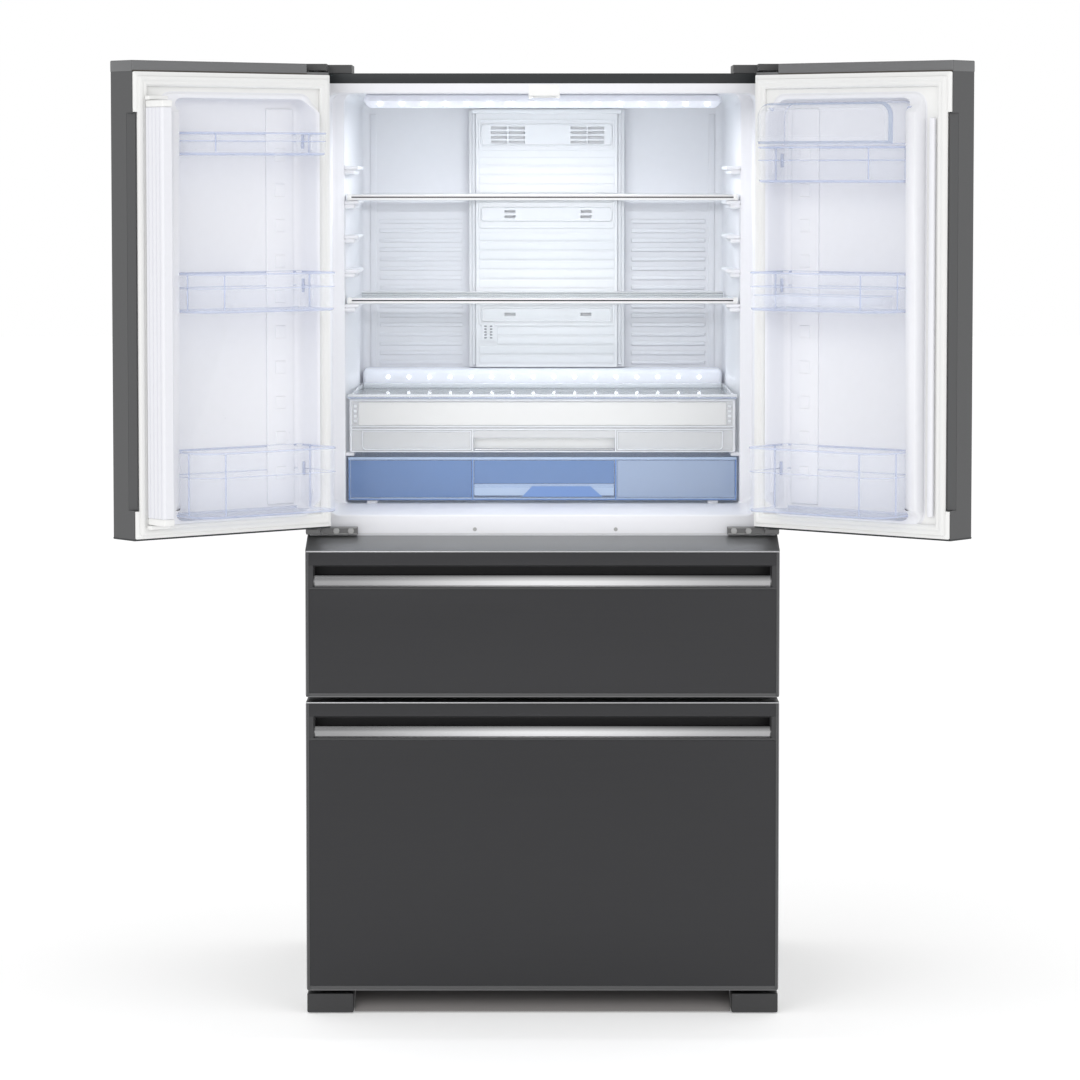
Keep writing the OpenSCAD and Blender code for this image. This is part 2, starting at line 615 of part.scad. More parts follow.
// Flip-up cover over the right upper rack
module rack_cover() {
    outer = concat([[52, 1560], [52, 1614]], arc(58, 1614, 6, 180, 90, 3), arc(118, 1596, 24, 90, 10),
        [[142.5, cover_z0], [120, cover_z0], [70, 1560]]);
    inner = concat([[40, cover_z0 - 6], [40, 1617.5]], arc(116, 1595, 22.5, 90, 10), [[140, cover_z0 - 6]]);
    color(clear_plastic) on_right_door() {
        difference() {
            side(outer, [rack_x[0] + 1, rack_x[1] - 1]);
            side(inner, [rack_x[0] + 3.5, rack_x[1] - 3.5]);
        }
        rod_x([rack_x[0] - 7, rack_x[0] + 1], cover_pin[0], cover_pin[1], shaft_r);
        rod_x([rack_x[1] - 1, rack_x[1] + 7], cover_pin[0], cover_pin[1], shaft_r);
    }
}

// Folding bar that closes the gap between the doors
module mullion_flap() color(liner_white) on_left_door() difference() {
    plan([[flap_x[0], flap_y[0] + 2], [flap_x[0] + 2, flap_y[0]], [flap_x[1], flap_y[0]],
        [flap_x[1], flap_y[1]], [flap_x[0], flap_y[1]]], flap_z);
    rod_z(flap_pin[0], flap_pin[1], [flap_z[0] - 1, flap_z[0] + 19], shaft_r + fit);
    rod_z(flap_pin[0], flap_pin[1], [flap_z[1] - 19, flap_z[1] + 1], shaft_r + fit);
}

// ---- Drawers ----

// Drawer front with the handle recess, and the two support arms of its slides
module drawer_front(outline, recess_z, arm_z) {
    difference() {
        side(outline, [-half_w, half_w]);
        block([-recess_x, recess_x], [-1, recess_y], recess_z);
    }
    both_sides() block([bin_x + 4, bin_x + 16], [drawer_t - 0.1, bin_y[1]], [arm_z - arm_h, arm_z + arm_h]);
}
module upper_drawer_front() color(drawer_grey) place() drawer_front([[0, upper_z[0]], [0, upper_z[1]],
    [front_y - 2, flange_z[0] - 3], [front_y - 2, upper_z[1] + 8], [drawer_t, upper_z[1] + 6],
    [drawer_t, upper_z[0]]], upper_recess_z, slide_z[0]);
module lower_drawer_front() color(drawer_grey) place() drawer_front([[4, lower_z[0]], [0, lower_z[0] + 4],
    [0, lower_z[1]], [drawer_t, lower_z[1]], [drawer_t, lower_z[0]]], lower_recess_z, slide_z[1]);

// Curved pull strip across the bottom of the handle recess
module pull_strip(z) side(concat([[3, z + 0.2]], arc(24, z + 11, 23.5, 205, 155), [[5, z + 22], [7, z + 19]],
    arc(26, z + 11, 22, 158, 200), [[recess_y - 0.2, z + 3.2], [recess_y - 0.2, z + 0.2]]),
    [-recess_x + 0.3, recess_x - 0.3]);
module upper_drawer_handle() color(steel) place() pull_strip(upper_recess_z[0]);
module lower_drawer_handle() color(steel) place() pull_strip(lower_recess_z[0]);

module upper_drawer_bin() color(clear_plastic) place() difference() {
    block([-bin_x, bin_x], bin_y, upper_bin_z);
    block([-bin_x + bin_t, bin_x - bin_t], bin_y + [bin_t, -bin_t], upper_bin_z + [bin_t, 1]);
}
// Outline of the lower bin, stepped up over the machine compartment and moved inwards by e
function bin_outline(e, top) = [[bin_y[0] + e, lower_bin_z[0] + e], [bin_step[0] - e, lower_bin_z[0] + e],
    [bin_step[0] - e, bin_step[1] + e], [bin_y[1] - e, bin_step[1] + e], [bin_y[1] - e, top],
    [bin_y[0] + e, top]];
module lower_drawer_bin() color(clear_plastic) place() difference() {
    side(bin_outline(0, lower_bin_z[1]), [-bin_x, bin_x]);
    side(bin_outline(bin_t, lower_bin_z[1] + 1), [-bin_x + bin_t, bin_x - bin_t]);
}
module freezer_tray() color(clear_plastic) place() difference() {
    block([-tray_x, tray_x], tray_y, tray_box_z);
    block([-tray_x + bin_t, tray_x - bin_t], tray_y + [bin_t, -bin_t], tray_box_z + [bin_t, 1]);
}

module drawer_gasket(z) ring([-half_w + 10, half_w - 10], gasket_y, z, 16);
module upper_drawer_gasket() color(gasket_white) place() drawer_gasket([upper_z[0] + 6, upper_z[1] + 2]);
module lower_drawer_gasket() color(gasket_white) place() drawer_gasket([lower_z[0] + 5, lower_z[1] - 4]);

cabinet_shell();
rear_panel();
insulation_panels();
fridge_liner();
drawer_liners();
air_duct_cover();
sensor_cover();
compartment_lights();
flap_guide();
door_hinges();
hinge_covers();
hinge_screws();
shelf_glass_panes();
shelf_trims();
crisper_cover();
cabinet_slides();
foot_covers();
kick_plate();
base_tray();
compressor();
condenser_coil();
condenser_fan_shroud();
drip_tray();
evaporator();
evaporator_fan_shroud();
control_board_box();
machine_cover();
power_inlet();
chilled_case();
cooling_case();
evaporator_fan();
condenser_fan();
left_levelling_leg();
right_levelling_leg();
rear_rollers();
left_door_skin();
left_door_liner();
left_door_gasket();
left_upper_rack();
left_middle_rack();
left_lower_rack();
mullion_flap();
right_door_skin();
right_door_liner();
right_door_gasket();
right_upper_rack();
right_middle_rack();
right_lower_rack();
egg_tray();
rack_cover();
upper_drawer_front();
upper_drawer_handle();
upper_drawer_bin();
upper_drawer_gasket();
lower_drawer_front();
lower_drawer_handle();
lower_drawer_bin();
lower_drawer_gasket();
freezer_tray();
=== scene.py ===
"""French door refrigerator, open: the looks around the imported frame. +Z is up and the fronts face -Y.

Shapes are drawn in millimetres, and Shape.make turns them into metres. Door pieces are drawn shut in
(u, y, z), where u is the distance from the cabinet's middle. DOOR[side] mirrors and swings them to where
the doors stand.
"""

import json
import math

import bmesh
import bpy
from mathutils import Matrix, Vector


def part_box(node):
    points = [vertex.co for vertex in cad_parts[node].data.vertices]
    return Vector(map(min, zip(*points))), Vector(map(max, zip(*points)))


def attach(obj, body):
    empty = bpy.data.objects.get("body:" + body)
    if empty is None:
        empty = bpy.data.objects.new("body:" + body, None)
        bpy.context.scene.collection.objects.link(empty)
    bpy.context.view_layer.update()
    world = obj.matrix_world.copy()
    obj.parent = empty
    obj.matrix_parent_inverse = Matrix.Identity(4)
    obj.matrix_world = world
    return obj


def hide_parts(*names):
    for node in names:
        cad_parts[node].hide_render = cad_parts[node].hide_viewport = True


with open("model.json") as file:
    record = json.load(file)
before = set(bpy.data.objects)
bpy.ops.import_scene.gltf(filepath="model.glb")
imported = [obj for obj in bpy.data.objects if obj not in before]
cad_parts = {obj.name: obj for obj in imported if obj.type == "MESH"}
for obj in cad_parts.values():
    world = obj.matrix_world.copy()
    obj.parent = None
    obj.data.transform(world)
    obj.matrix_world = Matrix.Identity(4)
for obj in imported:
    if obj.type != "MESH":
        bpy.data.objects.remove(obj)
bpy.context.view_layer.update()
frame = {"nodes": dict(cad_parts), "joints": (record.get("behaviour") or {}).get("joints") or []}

MM = 0.001  # metres in a millimetre
NODES = frame["nodes"]
JOINTS = {j["name"]: j for j in frame["joints"]}

# == Places taken from the frame ==

def mm(corners):
    """The two corners of a box in the frame, in millimetres."""
    return [corner / MM for corner in corners]


def metres(point):
    return [c * MM for c in point]


shell_lo, shell_hi = mm(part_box("cabinet_shell"))
liner_lo, liner_hi = mm(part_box("fridge_liner"))
upper_lo, upper_hi = mm(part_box("upper_drawer_front"))
lower_lo, lower_hi = mm(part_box("lower_drawer_front"))
HALF_W = shell_hi.x
FRONT_Y = shell_lo.y  # front edge of the cabinet
DRAWER_Y = upper_lo.y  # front plane of the drawers and of the shut doors


def depth(distance):
    """The frame's Y at a distance behind the front plane of the drawers."""
    return DRAWER_Y + distance


def door_matrix(side):
    """Takes a point (u, y, z) of a shut door, in metres, to where the open door has it."""
    joint = JOINTS[f"{side}_door_swing"]
    pin = Vector(joint["pos_m"])
    swing = Matrix.Rotation(-math.radians(joint["range_deg"][1]), 4, Vector(joint["axis"]))
    mirror = Matrix.Diagonal((-1 if side == "left" else 1, 1, 1, 1))
    return Matrix.Translation(pin) @ swing @ Matrix.Translation(-pin) @ mirror


DOOR = {side: door_matrix(side) for side in ("left", "right")}


def shut_box(node, side):
    """Lowest and highest (u, y, z) of a CAD node of a door, with the door shut."""
    back = DOOR[side].inverted()
    points = [back @ v.co for v in NODES[node].data.vertices]
    return mm((Vector(map(min, zip(*points))), Vector(map(max, zip(*points)))))


# == Materials ==

def shader(name):
    material = bpy.data.materials.new(name)
    material.use_nodes = True
    tree = material.node_tree
    return material, tree, tree.nodes["Principled BSDF"]


def add_node(tree, kind, **inputs):
    """Adds a shader node and sets its inputs, an underscore standing for a space in their names."""
    node = tree.nodes.new("ShaderNode" + kind)
    for name, value in inputs.items():
        node.inputs[name.replace("_", " ")].default_value = value
    return node


def surface(name, color, roughness, metallic=0.0, grain=300, bump=0.05, mottle=0.06, rough_spread=0.08,
            emission=0.0, bump_size=0.0004):
    """Colour, roughness and relief that vary with noise; grain is the noise's scale, one or three."""
    material, tree, bsdf = shader(name)
    link = tree.links.new
    place = add_node(tree, "TexCoord")
    scale = add_node(tree, "Mapping", Scale=grain if isinstance(grain, tuple) else (grain,) * 3)
    noise = add_node(tree, "TexNoise", Scale=1.0, Detail=4.0)
    link(place.outputs["Object"], scale.inputs["Vector"])
    link(scale.outputs["Vector"], noise.inputs["Vector"])
    tint = add_node(tree, "Mix")
    tint.data_type = "RGBA"
    tint.inputs[6].default_value = [c * (1 - mottle) for c in color] + [1]
    tint.inputs[7].default_value = [min(1, c * (1 + mottle)) for c in color] + [1]
    link(noise.outputs["Fac"], tint.inputs[0])
    link(tint.outputs[2], bsdf.inputs["Base Color"])
    low, high = max(0.02, roughness - rough_spread), min(1.0, roughness + rough_spread)
    spread = add_node(tree, "MapRange", To_Min=low, To_Max=high)
    link(noise.outputs["Fac"], spread.inputs["Value"])
    link(spread.outputs["Result"], bsdf.inputs["Roughness"])
    relief = add_node(tree, "Bump", Strength=bump, Distance=bump_size)
    link(noise.outputs["Fac"], relief.inputs["Height"])
    link(relief.outputs["Normal"], bsdf.inputs["Normal"])
    bsdf.inputs["Metallic"].default_value = metallic
    if emission:
        bsdf.inputs["Emission Color"].default_value = [*color, 1]
        bsdf.inputs["Emission Strength"].default_value = emission
    return material


def clear(name, color, alpha, roughness=0.12, gloss=0.5, frost=90):
    """Clear or tinted plastic or glass: mostly see-through, with faint flow marks in its finish."""
    material, tree, bsdf = shader(name)
    place = add_node(tree, "TexCoord")
    noise = add_node(tree, "TexNoise", Scale=frost)
    tree.links.new(place.outputs["Object"], noise.inputs["Vector"])
    spread = add_node(tree, "MapRange", To_Min=roughness * 0.6, To_Max=roughness * 1.4)
    tree.links.new(noise.outputs["Fac"], spread.inputs["Value"])
    tree.links.new(spread.outputs["Result"], bsdf.inputs["Roughness"])
    bsdf.inputs["Base Color"].default_value = [*color, 1]
    bsdf.inputs["Specular IOR Level"].default_value = gloss
    bsdf.inputs["Alpha"].default_value = alpha
    return material


def painted_shade_ramp(material, axis, greys):
    """Paints shade into a surface's colour along an axis of its piece, darkening it by (share of the
    piece's length, grey) pairs.
    """
    tree = material.node_tree
    base = tree.nodes["Principled BSDF"].inputs["Base Color"]
    split = add_node(tree, "SeparateXYZ")
    ramp = add_node(tree, "ValToRGB")
    stops = ramp.color_ramp.elements
    ramp.color_ramp.interpolation = "EASE"
    for k, (share, grey) in enumerate(greys):
        stop = stops[k] if k < 2 else stops.new(share)
        stop.position = share
        stop.color = (grey, grey, grey, 1)
    product = add_node(tree, "Mix")
    product.data_type = "RGBA"
    product.blend_type = "MULTIPLY"
    product.inputs[0].default_value = 1.0
    link = tree.links.new
    link(tree.nodes["Texture Coordinate"].outputs["Generated"], split.inputs["Vector"])
    link(split.outputs[axis], ramp.inputs["Fac"])
    link(base.links[0].from_socket, product.inputs[6])
    link(ramp.outputs["Color"], product.inputs[7])
    link(product.outputs[2], base)


graphite = surface("graphite_paint", (0.08, 0.081, 0.083), 0.42, 0.2, 900, 0.1, 0.05)
cap_grey = surface("cap_grey", (0.155, 0.157, 0.16), 0.4, 0.1, 900, 0.08, 0.04)
drawer_cap = surface("drawer_cap_grey", (0.225, 0.228, 0.232), 0.34, 0.3, 900, 0.08, 0.04)
edge_grey = surface("edge_grey", (0.23, 0.23, 0.235), 0.34, 0.4, 900, 0.08, 0.05)
brushed_dark = surface("brushed_graphite", (0.0285, 0.0285, 0.0308), 0.38, 0.4, (6, 6, 2600), 0.1, 0.14,
                       0.07)
drawer_frame = surface("drawer_frame_grey", (0.035, 0.035, 0.037), 0.45, 0.1, 700, 0.1, 0.05)
foot_grey = surface("foot_grey", (0.034, 0.034, 0.0355), 0.45, 0.1, 700, 0.12)
dark_trim = surface("dark_trim", (0.012, 0.015, 0.017), 0.45, 0, 800, 0.15, 0.08)
hinge_grey = surface("hinge_cover_grey", (0.06, 0.061, 0.062), 0.42, 0, 800, 0.12)
seam_brown = surface("seam_brown", (0.065, 0.055, 0.045), 0.6, 0, 500, 0.1, 0.1)
shadow_black = surface("shadow_black", (0.01, 0.0095, 0.011), 0.6, 0, 500, 0.1, 0.2)
silver = surface("bright_silver", (0.74, 0.745, 0.755), 0.17, 1, (5, 900, 900), 0.05, 0.05, 0.05)
pull_silver_painted_reflection = surface("pull_silver_painted_reflection", (0.76, 0.76, 0.77), 0.22, 1, (5, 900, 900), 0.05, 0.05, 0.05)
# Painted reflection and shade on the pull strips: darker towards both ends and towards the top, bright in
# the middle and along the lower edge.
painted_shade_ramp(pull_silver_painted_reflection, "X", ((0, 0.42), (1, 0.52), (0.52, 1)))
painted_shade_ramp(pull_silver_painted_reflection, "Z", ((0, 1), (1, 0.16), (0.55, 0.95)))
rail_silver = surface("rail_silver", (0.9, 0.9, 0.91), 0.3, 0.8, (5, 900, 900), 0.05, 0.03, 0.05)
hinge_steel = surface("hinge_steel", (0.15, 0.15, 0.152), 0.32, 0.8, 90, 0.12, 0.12)
zinc = surface("zinc_steel", (0.42, 0.42, 0.415), 0.34, 1, 90, 0.12, 0.16, 0.1)
galvanised = surface("galvanised_sheet", (0.46, 0.47, 0.48), 0.42, 0.8, 28, 0.1, 0.18, 0.12)
liner_white = surface("liner_white", (0.81, 0.815, 0.85), 0.3, 0, 60, 0.05, 0.015, 0.05)
duct_white = surface("duct_white", (0.85, 0.855, 0.875), 0.36, 0, 80, 0.05, 0.015)
border_white = surface("border_white", (0.84, 0.84, 0.83), 0.4, 0, 80, 0.02, 0.01)
seal_white = surface("seal_white", (0.8, 0.8, 0.79), 0.55, 0, 400, 0.04, 0.02)
flap_white = surface("flap_white", (0.78, 0.785, 0.825), 0.34, 0, 90, 0.05, 0.02)
light_cover = surface("light_cover", (0.9, 0.92, 1), 0.35, 0, 200, 0.08, 0.02, emission=0.06)
led_white = surface("led_white", (0.96, 0.98, 1), 0.3, 0, 200, 0.05, 0.01, emission=5.0)
screw_grey = surface("screw_grey", (0.4, 0.4, 0.4), 0.4, 0.2, 300, 0.1, 0.05)
# Grey of the sensor slots: painted shade inside the slots, on small raised marks.
slot_painted_shade = surface("slot_painted_shade", (0.22, 0.22, 0.24), 0.5, 0, 300, 0.05, 0.05)
foam = surface("foam", (0.8, 0.7, 0.45), 0.85, 0, 120, 0.5, 0.12, bump_size=0.001)
black_plastic = surface("black_plastic", (0.018, 0.018, 0.019), 0.5, 0, 900, 0.2, 0.15)
black_enamel = surface("black_enamel", (0.012, 0.012, 0.013), 0.28, 0, 150, 0.08, 0.2)
fin_metal = surface("fin_aluminium", (0.78, 0.79, 0.8), 0.3, 1, (40, 40, 600), 0.1, 0.08)
kick_grey = surface("kick_grey", (0.31, 0.295, 0.29), 0.6, 0, (7, 400, 400), 0.12, 0.08)
# Painted shade on the kick plate: darker towards its top, under the drawer front.
painted_shade_ramp(kick_grey, "Z", ((0, 1), (1, 0.36)))
clear_wall = clear("clear_wall", (0.86, 0.89, 0.97), 0.07)
clear_edge = clear("clear_edge", (0.56, 0.63, 0.83), 0.42, 0.08)
cover_line = clear("cover_line", (0.34, 0.41, 0.56), 0.62, 0.08)
frosted_wall = clear("frosted_wall", (0.93, 0.935, 0.93), 0.55, 0.35)
frosted_edge = clear("frosted_edge", (0.9, 0.92, 0.96), 0.7, 0.12)
blue_wall = clear("blue_wall", (0.2, 0.325, 0.6), 0.54, 0.14)
blue_edge = clear("blue_edge", (0.24, 0.39, 0.74), 0.66, 0.08)
blue_light = clear("blue_light", (0.6, 0.73, 0.93), 0.6, 0.2)
# Lighter copy of the blue wall for the cooling case's right panel: painted light on that side.
blue_wall_painted_light = clear("blue_wall_painted_light", (0.47, 0.57, 0.75), 0.56, 0.14)
blue_body = clear("blue_body", (0.52, 0.65, 0.88), 0.26, 0.14)
frosted_body = clear("frosted_body", (0.95, 0.955, 0.96), 0.32, 0.35)
band_grey = surface("band_grey", (0.05, 0.05, 0.052), 0.42, 0.2, 900, 0.1, 0.05)
shelf_glass = clear("shelf_glass", (0.8, 0.9, 0.92), 0.2, 0.05, 0.7, 20)


# == Outlines and solids, in millimetres ==

SHARP = 0.2  # least radius of a corner


def outline(lo, hi, radii, inset=0.0, steps=6):
    """Rounded rectangle, counter-clockwise from its low-low corner, moved inwards by inset."""
    radii = radii if isinstance(radii, (tuple, list)) else (radii,) * 4
    x0, x1, y0, y1 = lo[0] + inset, hi[0] - inset, lo[1] + inset, hi[1] - inset
    points = []
    corners = ((x0, y0, 1, 1), (x1, y0, -1, 1), (x1, y1, -1, -1), (x0, y1, 1, -1))
    for i, (x, y, sx, sy) in enumerate(corners):
        r = max(radii[i] - inset, SHARP)
        for k in range(steps + 1):
            a = math.radians(180 + 90 * i + 90 * k / steps)
            points.append((x + sx * r + r * math.cos(a), y + sy * r + r * math.sin(a)))
    return points


def at_x(points, x):
    return [(x, p[0], p[1]) for p in points]


def at_y(points, y):
    return [(p[0], y, p[1]) for p in points]


def at_z(points, z):
    return [(p[0], p[1], z) for p in points]


PUT = {"x": at_x, "y": at_y, "z": at_z}


def circle(cx, cy, r, sides=24):
    angles = [math.tau * k / sides for k in range(sides)]
    return [(cx + r * math.cos(a), cy + r * math.sin(a)) for a in angles]


def add_object(name, data):
    obj = bpy.data.objects.new(name, data)
    bpy.context.scene.collection.objects.link(obj)
    return obj


class Shape:
    """Collects closed solids, each face with the number of one of the piece's materials."""

    def __init__(self):
        self.verts, self.faces, self.marks = [], [], []

    def loft(self, rings, mark=0, marks=None, closed=False):
        """Joins rings of equal length; marks gives the material of each span between two rings."""
        base, count = len(self.verts), len(rings[0])
        for ring in rings:
            self.verts += [tuple(p) for p in ring]
        for i in range(len(rings) if closed else len(rings) - 1):
            a, b = base + i * count, base + (i + 1) % len(rings) * count
            for k in range(count):
                n = (k + 1) % count
                self.faces.append((a + k, a + n, b + n, b + k))
                self.marks.append(marks[i] if marks else mark)
        if not closed:
            last = base + (len(rings) - 1) * count
            self.faces += [tuple(range(base, base + count)), tuple(range(last, last + count))]
            self.marks += [marks[0] if marks else mark, marks[-1] if marks else mark]
        return self

    def box(self, lo, hi, r=1.5, mark=0, steps=3):
        """A box between two opposite corners, with every edge rounded."""
        lo, hi = list(map(min, lo, hi)), list(map(max, lo, hi))
        r = min(r, *[(b - a) / 2.02 for a, b in zip(lo, hi)])
        rings = []
        for end, sign in ((lo[2], 1), (hi[2], -1)):
            rows = []
            for k in range(steps + 1):
                a = math.pi / 2 * k / steps
                rows.append(at_z(outline(lo, hi, r, r * (1 - math.sin(a)) * 0.98, steps),
                                 end + sign * r * (1 - math.cos(a))))
            rings += rows if sign > 0 else rows[::-1]
        return self.loft(rings, mark)

    def pair(self, lo, hi, r=1.5, mark=0):
        """The same box on both sides of the cabinet's middle."""
        for side in (-1, 1):
            self.box((side * lo[0], *lo[1:]), (side * hi[0], *hi[1:]), r, mark)

    def rod(self, axis, at, r, span, mark=0, sides=24, edge=0.5):
        """A round rod with broken ends along an axis; at is its place on the other two."""
        ends = [(span[0], r - edge), (span[0] + edge, r), (span[1] - edge, r), (span[1], r - edge)]
        return self.loft([PUT[axis](circle(*at, radius, sides), s) for s, radius in ends], mark)

    def prism(self, points, axis, span, mark=0):
        """A closed outline swept straight along an axis."""
        return self.loft([PUT[axis](points, place) for place in span], mark)

    def make(self, name, body, slot, materials, replaces=(), place=None, angle=38):
        """Makes a mesh in metres that rides on a body; place carries it to where a door stands."""
        mesh = bpy.data.meshes.new(name)
        mesh.from_pydata([metres(v) for v in self.verts], [], self.faces)
        for material in materials:
            mesh.materials.append(material)
        mesh.polygons.foreach_set("material_index", self.marks)
        if place is not None:
            mesh.transform(place)
        work = bmesh.new()
        work.from_mesh(mesh)
        bmesh.ops.recalc_face_normals(work, faces=work.faces)
        work.to_mesh(mesh)
        work.free()
        mesh.shade_smooth()
        mesh.set_sharp_from_angle(angle=math.radians(angle))
        piece = add_object(name, mesh)
        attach(piece, body)
        if replaces:
            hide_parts(*replaces)


def dress(material, bevel, *nodes):
    """Gives CAD nodes that stay a material, and rounds their edges by the bevel, in millimetres."""
    for node in nodes:
        obj = NODES[node]
        obj.data.materials.clear()
        obj.data.materials.append(material)
        if bevel:
            weld = obj.modifiers.new("weld", "WELD")
            weld.merge_threshold = 0.00001
            rounding = obj.modifiers.new("rounding", "BEVEL")
            rounding.width = bevel * MM
            rounding.segments = 2
            rounding.limit_method = "ANGLE"
            rounding.angle_limit = math.radians(40)
            rounding.harden_normals = True


# == CAD nodes that stay, with their materials ==

def dress_frame():
    dress(graphite, 1.5, "cabinet_shell")
    dress(graphite, 1, "left_door_skin", "right_door_skin")
    dress(drawer_frame, 2, "upper_drawer_front", "lower_drawer_front")
    dress(galvanised, 0, "rear_panel")
    dress(galvanised, 0.8, "base_tray")
    dress(foam, 0, "insulation_panels")
    dress(liner_white, 2, "drawer_liners")
    dress(duct_white, 1.2, "air_duct_cover")
    dress(duct_white, 0.8, "sensor_cover")
    dress(hinge_steel, 1.2, "door_hinges")
    dress(hinge_grey, 3.5, "hinge_covers")
    dress(screw_grey, 0.6, "hinge_screws")
    dress(shelf_glass, 0.8, "shelf_glass_panes")
    dress(shelf_glass, 1.2, "crisper_cover")
    dress(rail_silver, 2, "shelf_trims")
    dress(zinc, 1.5, "cabinet_slides")
    dress(foot_grey, 2.5, "foot_covers")
    dress(kick_grey, 1, "kick_plate")
    dress(black_enamel, 2, "compressor")
    dress(black_enamel, 0, "condenser_coil")
    dress(dark_trim, 1, "condenser_fan_shroud", "drip_tray")
    dress(dark_trim, 0.6, "machine_cover")
    dress(fin_metal, 0, "evaporator")
    dress(border_white, 0, "evaporator_fan")
    dress(border_white, 1, "evaporator_fan_shroud")
    dress(border_white, 2, "control_board_box")
    dress(black_plastic, 0, "condenser_fan")
    dress(black_plastic, 0.8, "power_inlet")
    dress(black_plastic, 1, "left_levelling_leg", "right_levelling_leg")
    dress(black_plastic, 1.5, "rear_rollers")
    dress(frosted_body, 1, "chilled_case")
    dress(blue_body, 1, "cooling_case")
    dress(clear_wall, 1, "upper_drawer_bin", "lower_drawer_bin", "freezer_tray")
    dress(seal_white, 2, "upper_drawer_gasket", "lower_drawer_gasket")


# == Cabinet ==

FLANGE_W = 39  # white flange beside the opening
OPENING_X = HALF_W - FLANGE_W
SILL_LOW, CEILING_LOW = liner_lo.z + 34, liner_hi.z - 18
FLOOR, CEILING = liner_lo.z + 45, liner_hi.z - 16  # of the refrigerator compartment
STEP_Y, BACK_Y = depth(190), liner_hi.y - 2  # step of the side walls, back wall
WALL_X = (OPENING_X - 24, OPENING_X - 35)  # side walls at the step and at the back
TIGHT = 6  # floor corners behind the step, clear of the cooling case


def wall_x(y):
    """Half the width between the compartment's side walls behind the step."""
    return WALL_X[0] + (WALL_X[1] - WALL_X[0]) * (y - STEP_Y) / (BACK_Y - STEP_Y)


def compartment_liner():
    """Vacuum-formed inner liner: flange, mouth, step, tapered walls and the back wall."""
    def ring(half, z0, z1, y, r):
        low = min(r, TIGHT) if y > STEP_Y + 0.1 else r
        return at_y(outline((-half, z0), (half, z1), (low, low, r, r)), y)

    skin = 2
    rings = [
        ring(WALL_X[1] + skin, FLOOR - 8, CEILING + skin, BACK_Y + skin, 20),
        ring(WALL_X[0] + skin, FLOOR - 8, CEILING + skin, STEP_Y + skin, 20),
        ring(OPENING_X + skin, SILL_LOW - skin, CEILING + skin, STEP_Y - skin, 16),
        ring(OPENING_X + skin, SILL_LOW - skin, CEILING + skin, FRONT_Y + 3, 16),
        ring(liner_hi.x, liner_lo.z, liner_hi.z, FRONT_Y + 2.5, 1),
        ring(liner_hi.x, liner_lo.z, liner_hi.z, FRONT_Y, 1),
        ring(OPENING_X + 3, SILL_LOW - 3, CEILING_LOW + 3, FRONT_Y, 21),
        ring(OPENING_X + 1, SILL_LOW - 1, CEILING_LOW + 1, FRONT_Y + 1, 19),
        ring(OPENING_X, SILL_LOW, CEILING_LOW, FRONT_Y + 3.5, 18),
        ring(OPENING_X, FLOOR - 0.4, CEILING, STEP_Y - 8, 18),
        ring(OPENING_X - 2, FLOOR, CEILING, STEP_Y - 2, 18),
        ring(OPENING_X - 8, FLOOR, CEILING, STEP_Y, 18),
        ring(WALL_X[0] + 6, FLOOR, CEILING, STEP_Y + 0.5, 18),
        ring(WALL_X[0] + 1, FLOOR, CEILING, STEP_Y + 3, 18),
        ring(WALL_X[0] - 0.2, FLOOR, CEILING, STEP_Y + 9, 18),
        ring(WALL_X[1] + 0.5, FLOOR, CEILING, BACK_Y - 18, 22),
        ring(WALL_X[1] - 2, FLOOR + 2, CEILING - 2, BACK_Y - 8, 22),
        ring(WALL_X[1] - 7, FLOOR + 7, CEILING - 7, BACK_Y - 2, 20),
        ring(WALL_X[1] - 16, FLOOR + 16, CEILING - 16, BACK_Y, 16),
    ]
    Shape().loft(rings).make("compartment_liner", "cabinet", "liner_white", [liner_white],
                             replaces=["fridge_liner"], angle=50)


LEDGE_TOP, LEDGE_PITCH = mm(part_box("shelf_trims"))[0].z, 62.3


def wall_rail(shape, side, inner, y, z, r):
    """A rounded rail between a side wall and the plane x = inner, which follows the wall's taper."""
    rings = []
    for inset, place in ((r, y[0]), (0.3 * r, y[0] + 0.3 * r), (0, y[0] + r), (0, y[1] - r), (r, y[1])):
        lo, hi = sorted((side * inner, side * (wall_x(place) + 1 + inset)))
        rings.append(at_y(outline((lo, z[0]), (hi, z[1]), r, inset, 3), place))
    shape.loft(rings)


def ledges_and_runners():
    """Shelf ledges on both side walls, each on a slimmer foot, and the runners of the two cases."""
    shape = Shape()
    case_z = mm(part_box("chilled_case"))[0].z
    inner = WALL_X[0] - 25
    for side in (-1, 1):
        for k in range(5):
            top = LEDGE_TOP + k * LEDGE_PITCH - 0.1
            wall_rail(shape, side, inner, (STEP_Y + 1, STEP_Y + 200), (top - 7, top), 2.8)
            wall_rail(shape, side, inner + 7, (STEP_Y + 3, STEP_Y + 190), (top - 15, top - 6), 3.5)
        wall_rail(shape, side, inner + 10, (STEP_Y + 12, STEP_Y + 300), (case_z - 7.6, case_z - 0.4), 2)
    shape.pair((300, STEP_Y + 12, FLOOR - 1), (320, STEP_Y + 340, FLOOR + 5.6), 2)
    shape.make("liner_ledges", "cabinet", "liner_white", [liner_white])


# Each raised band of the duct cover: its low and high edge, and those of the frame inside it
VENTS = ((1540, 1600, 1549, 1591), (1392, 1446, 1405, 1434), (1206, 1250, 1214, 1242))


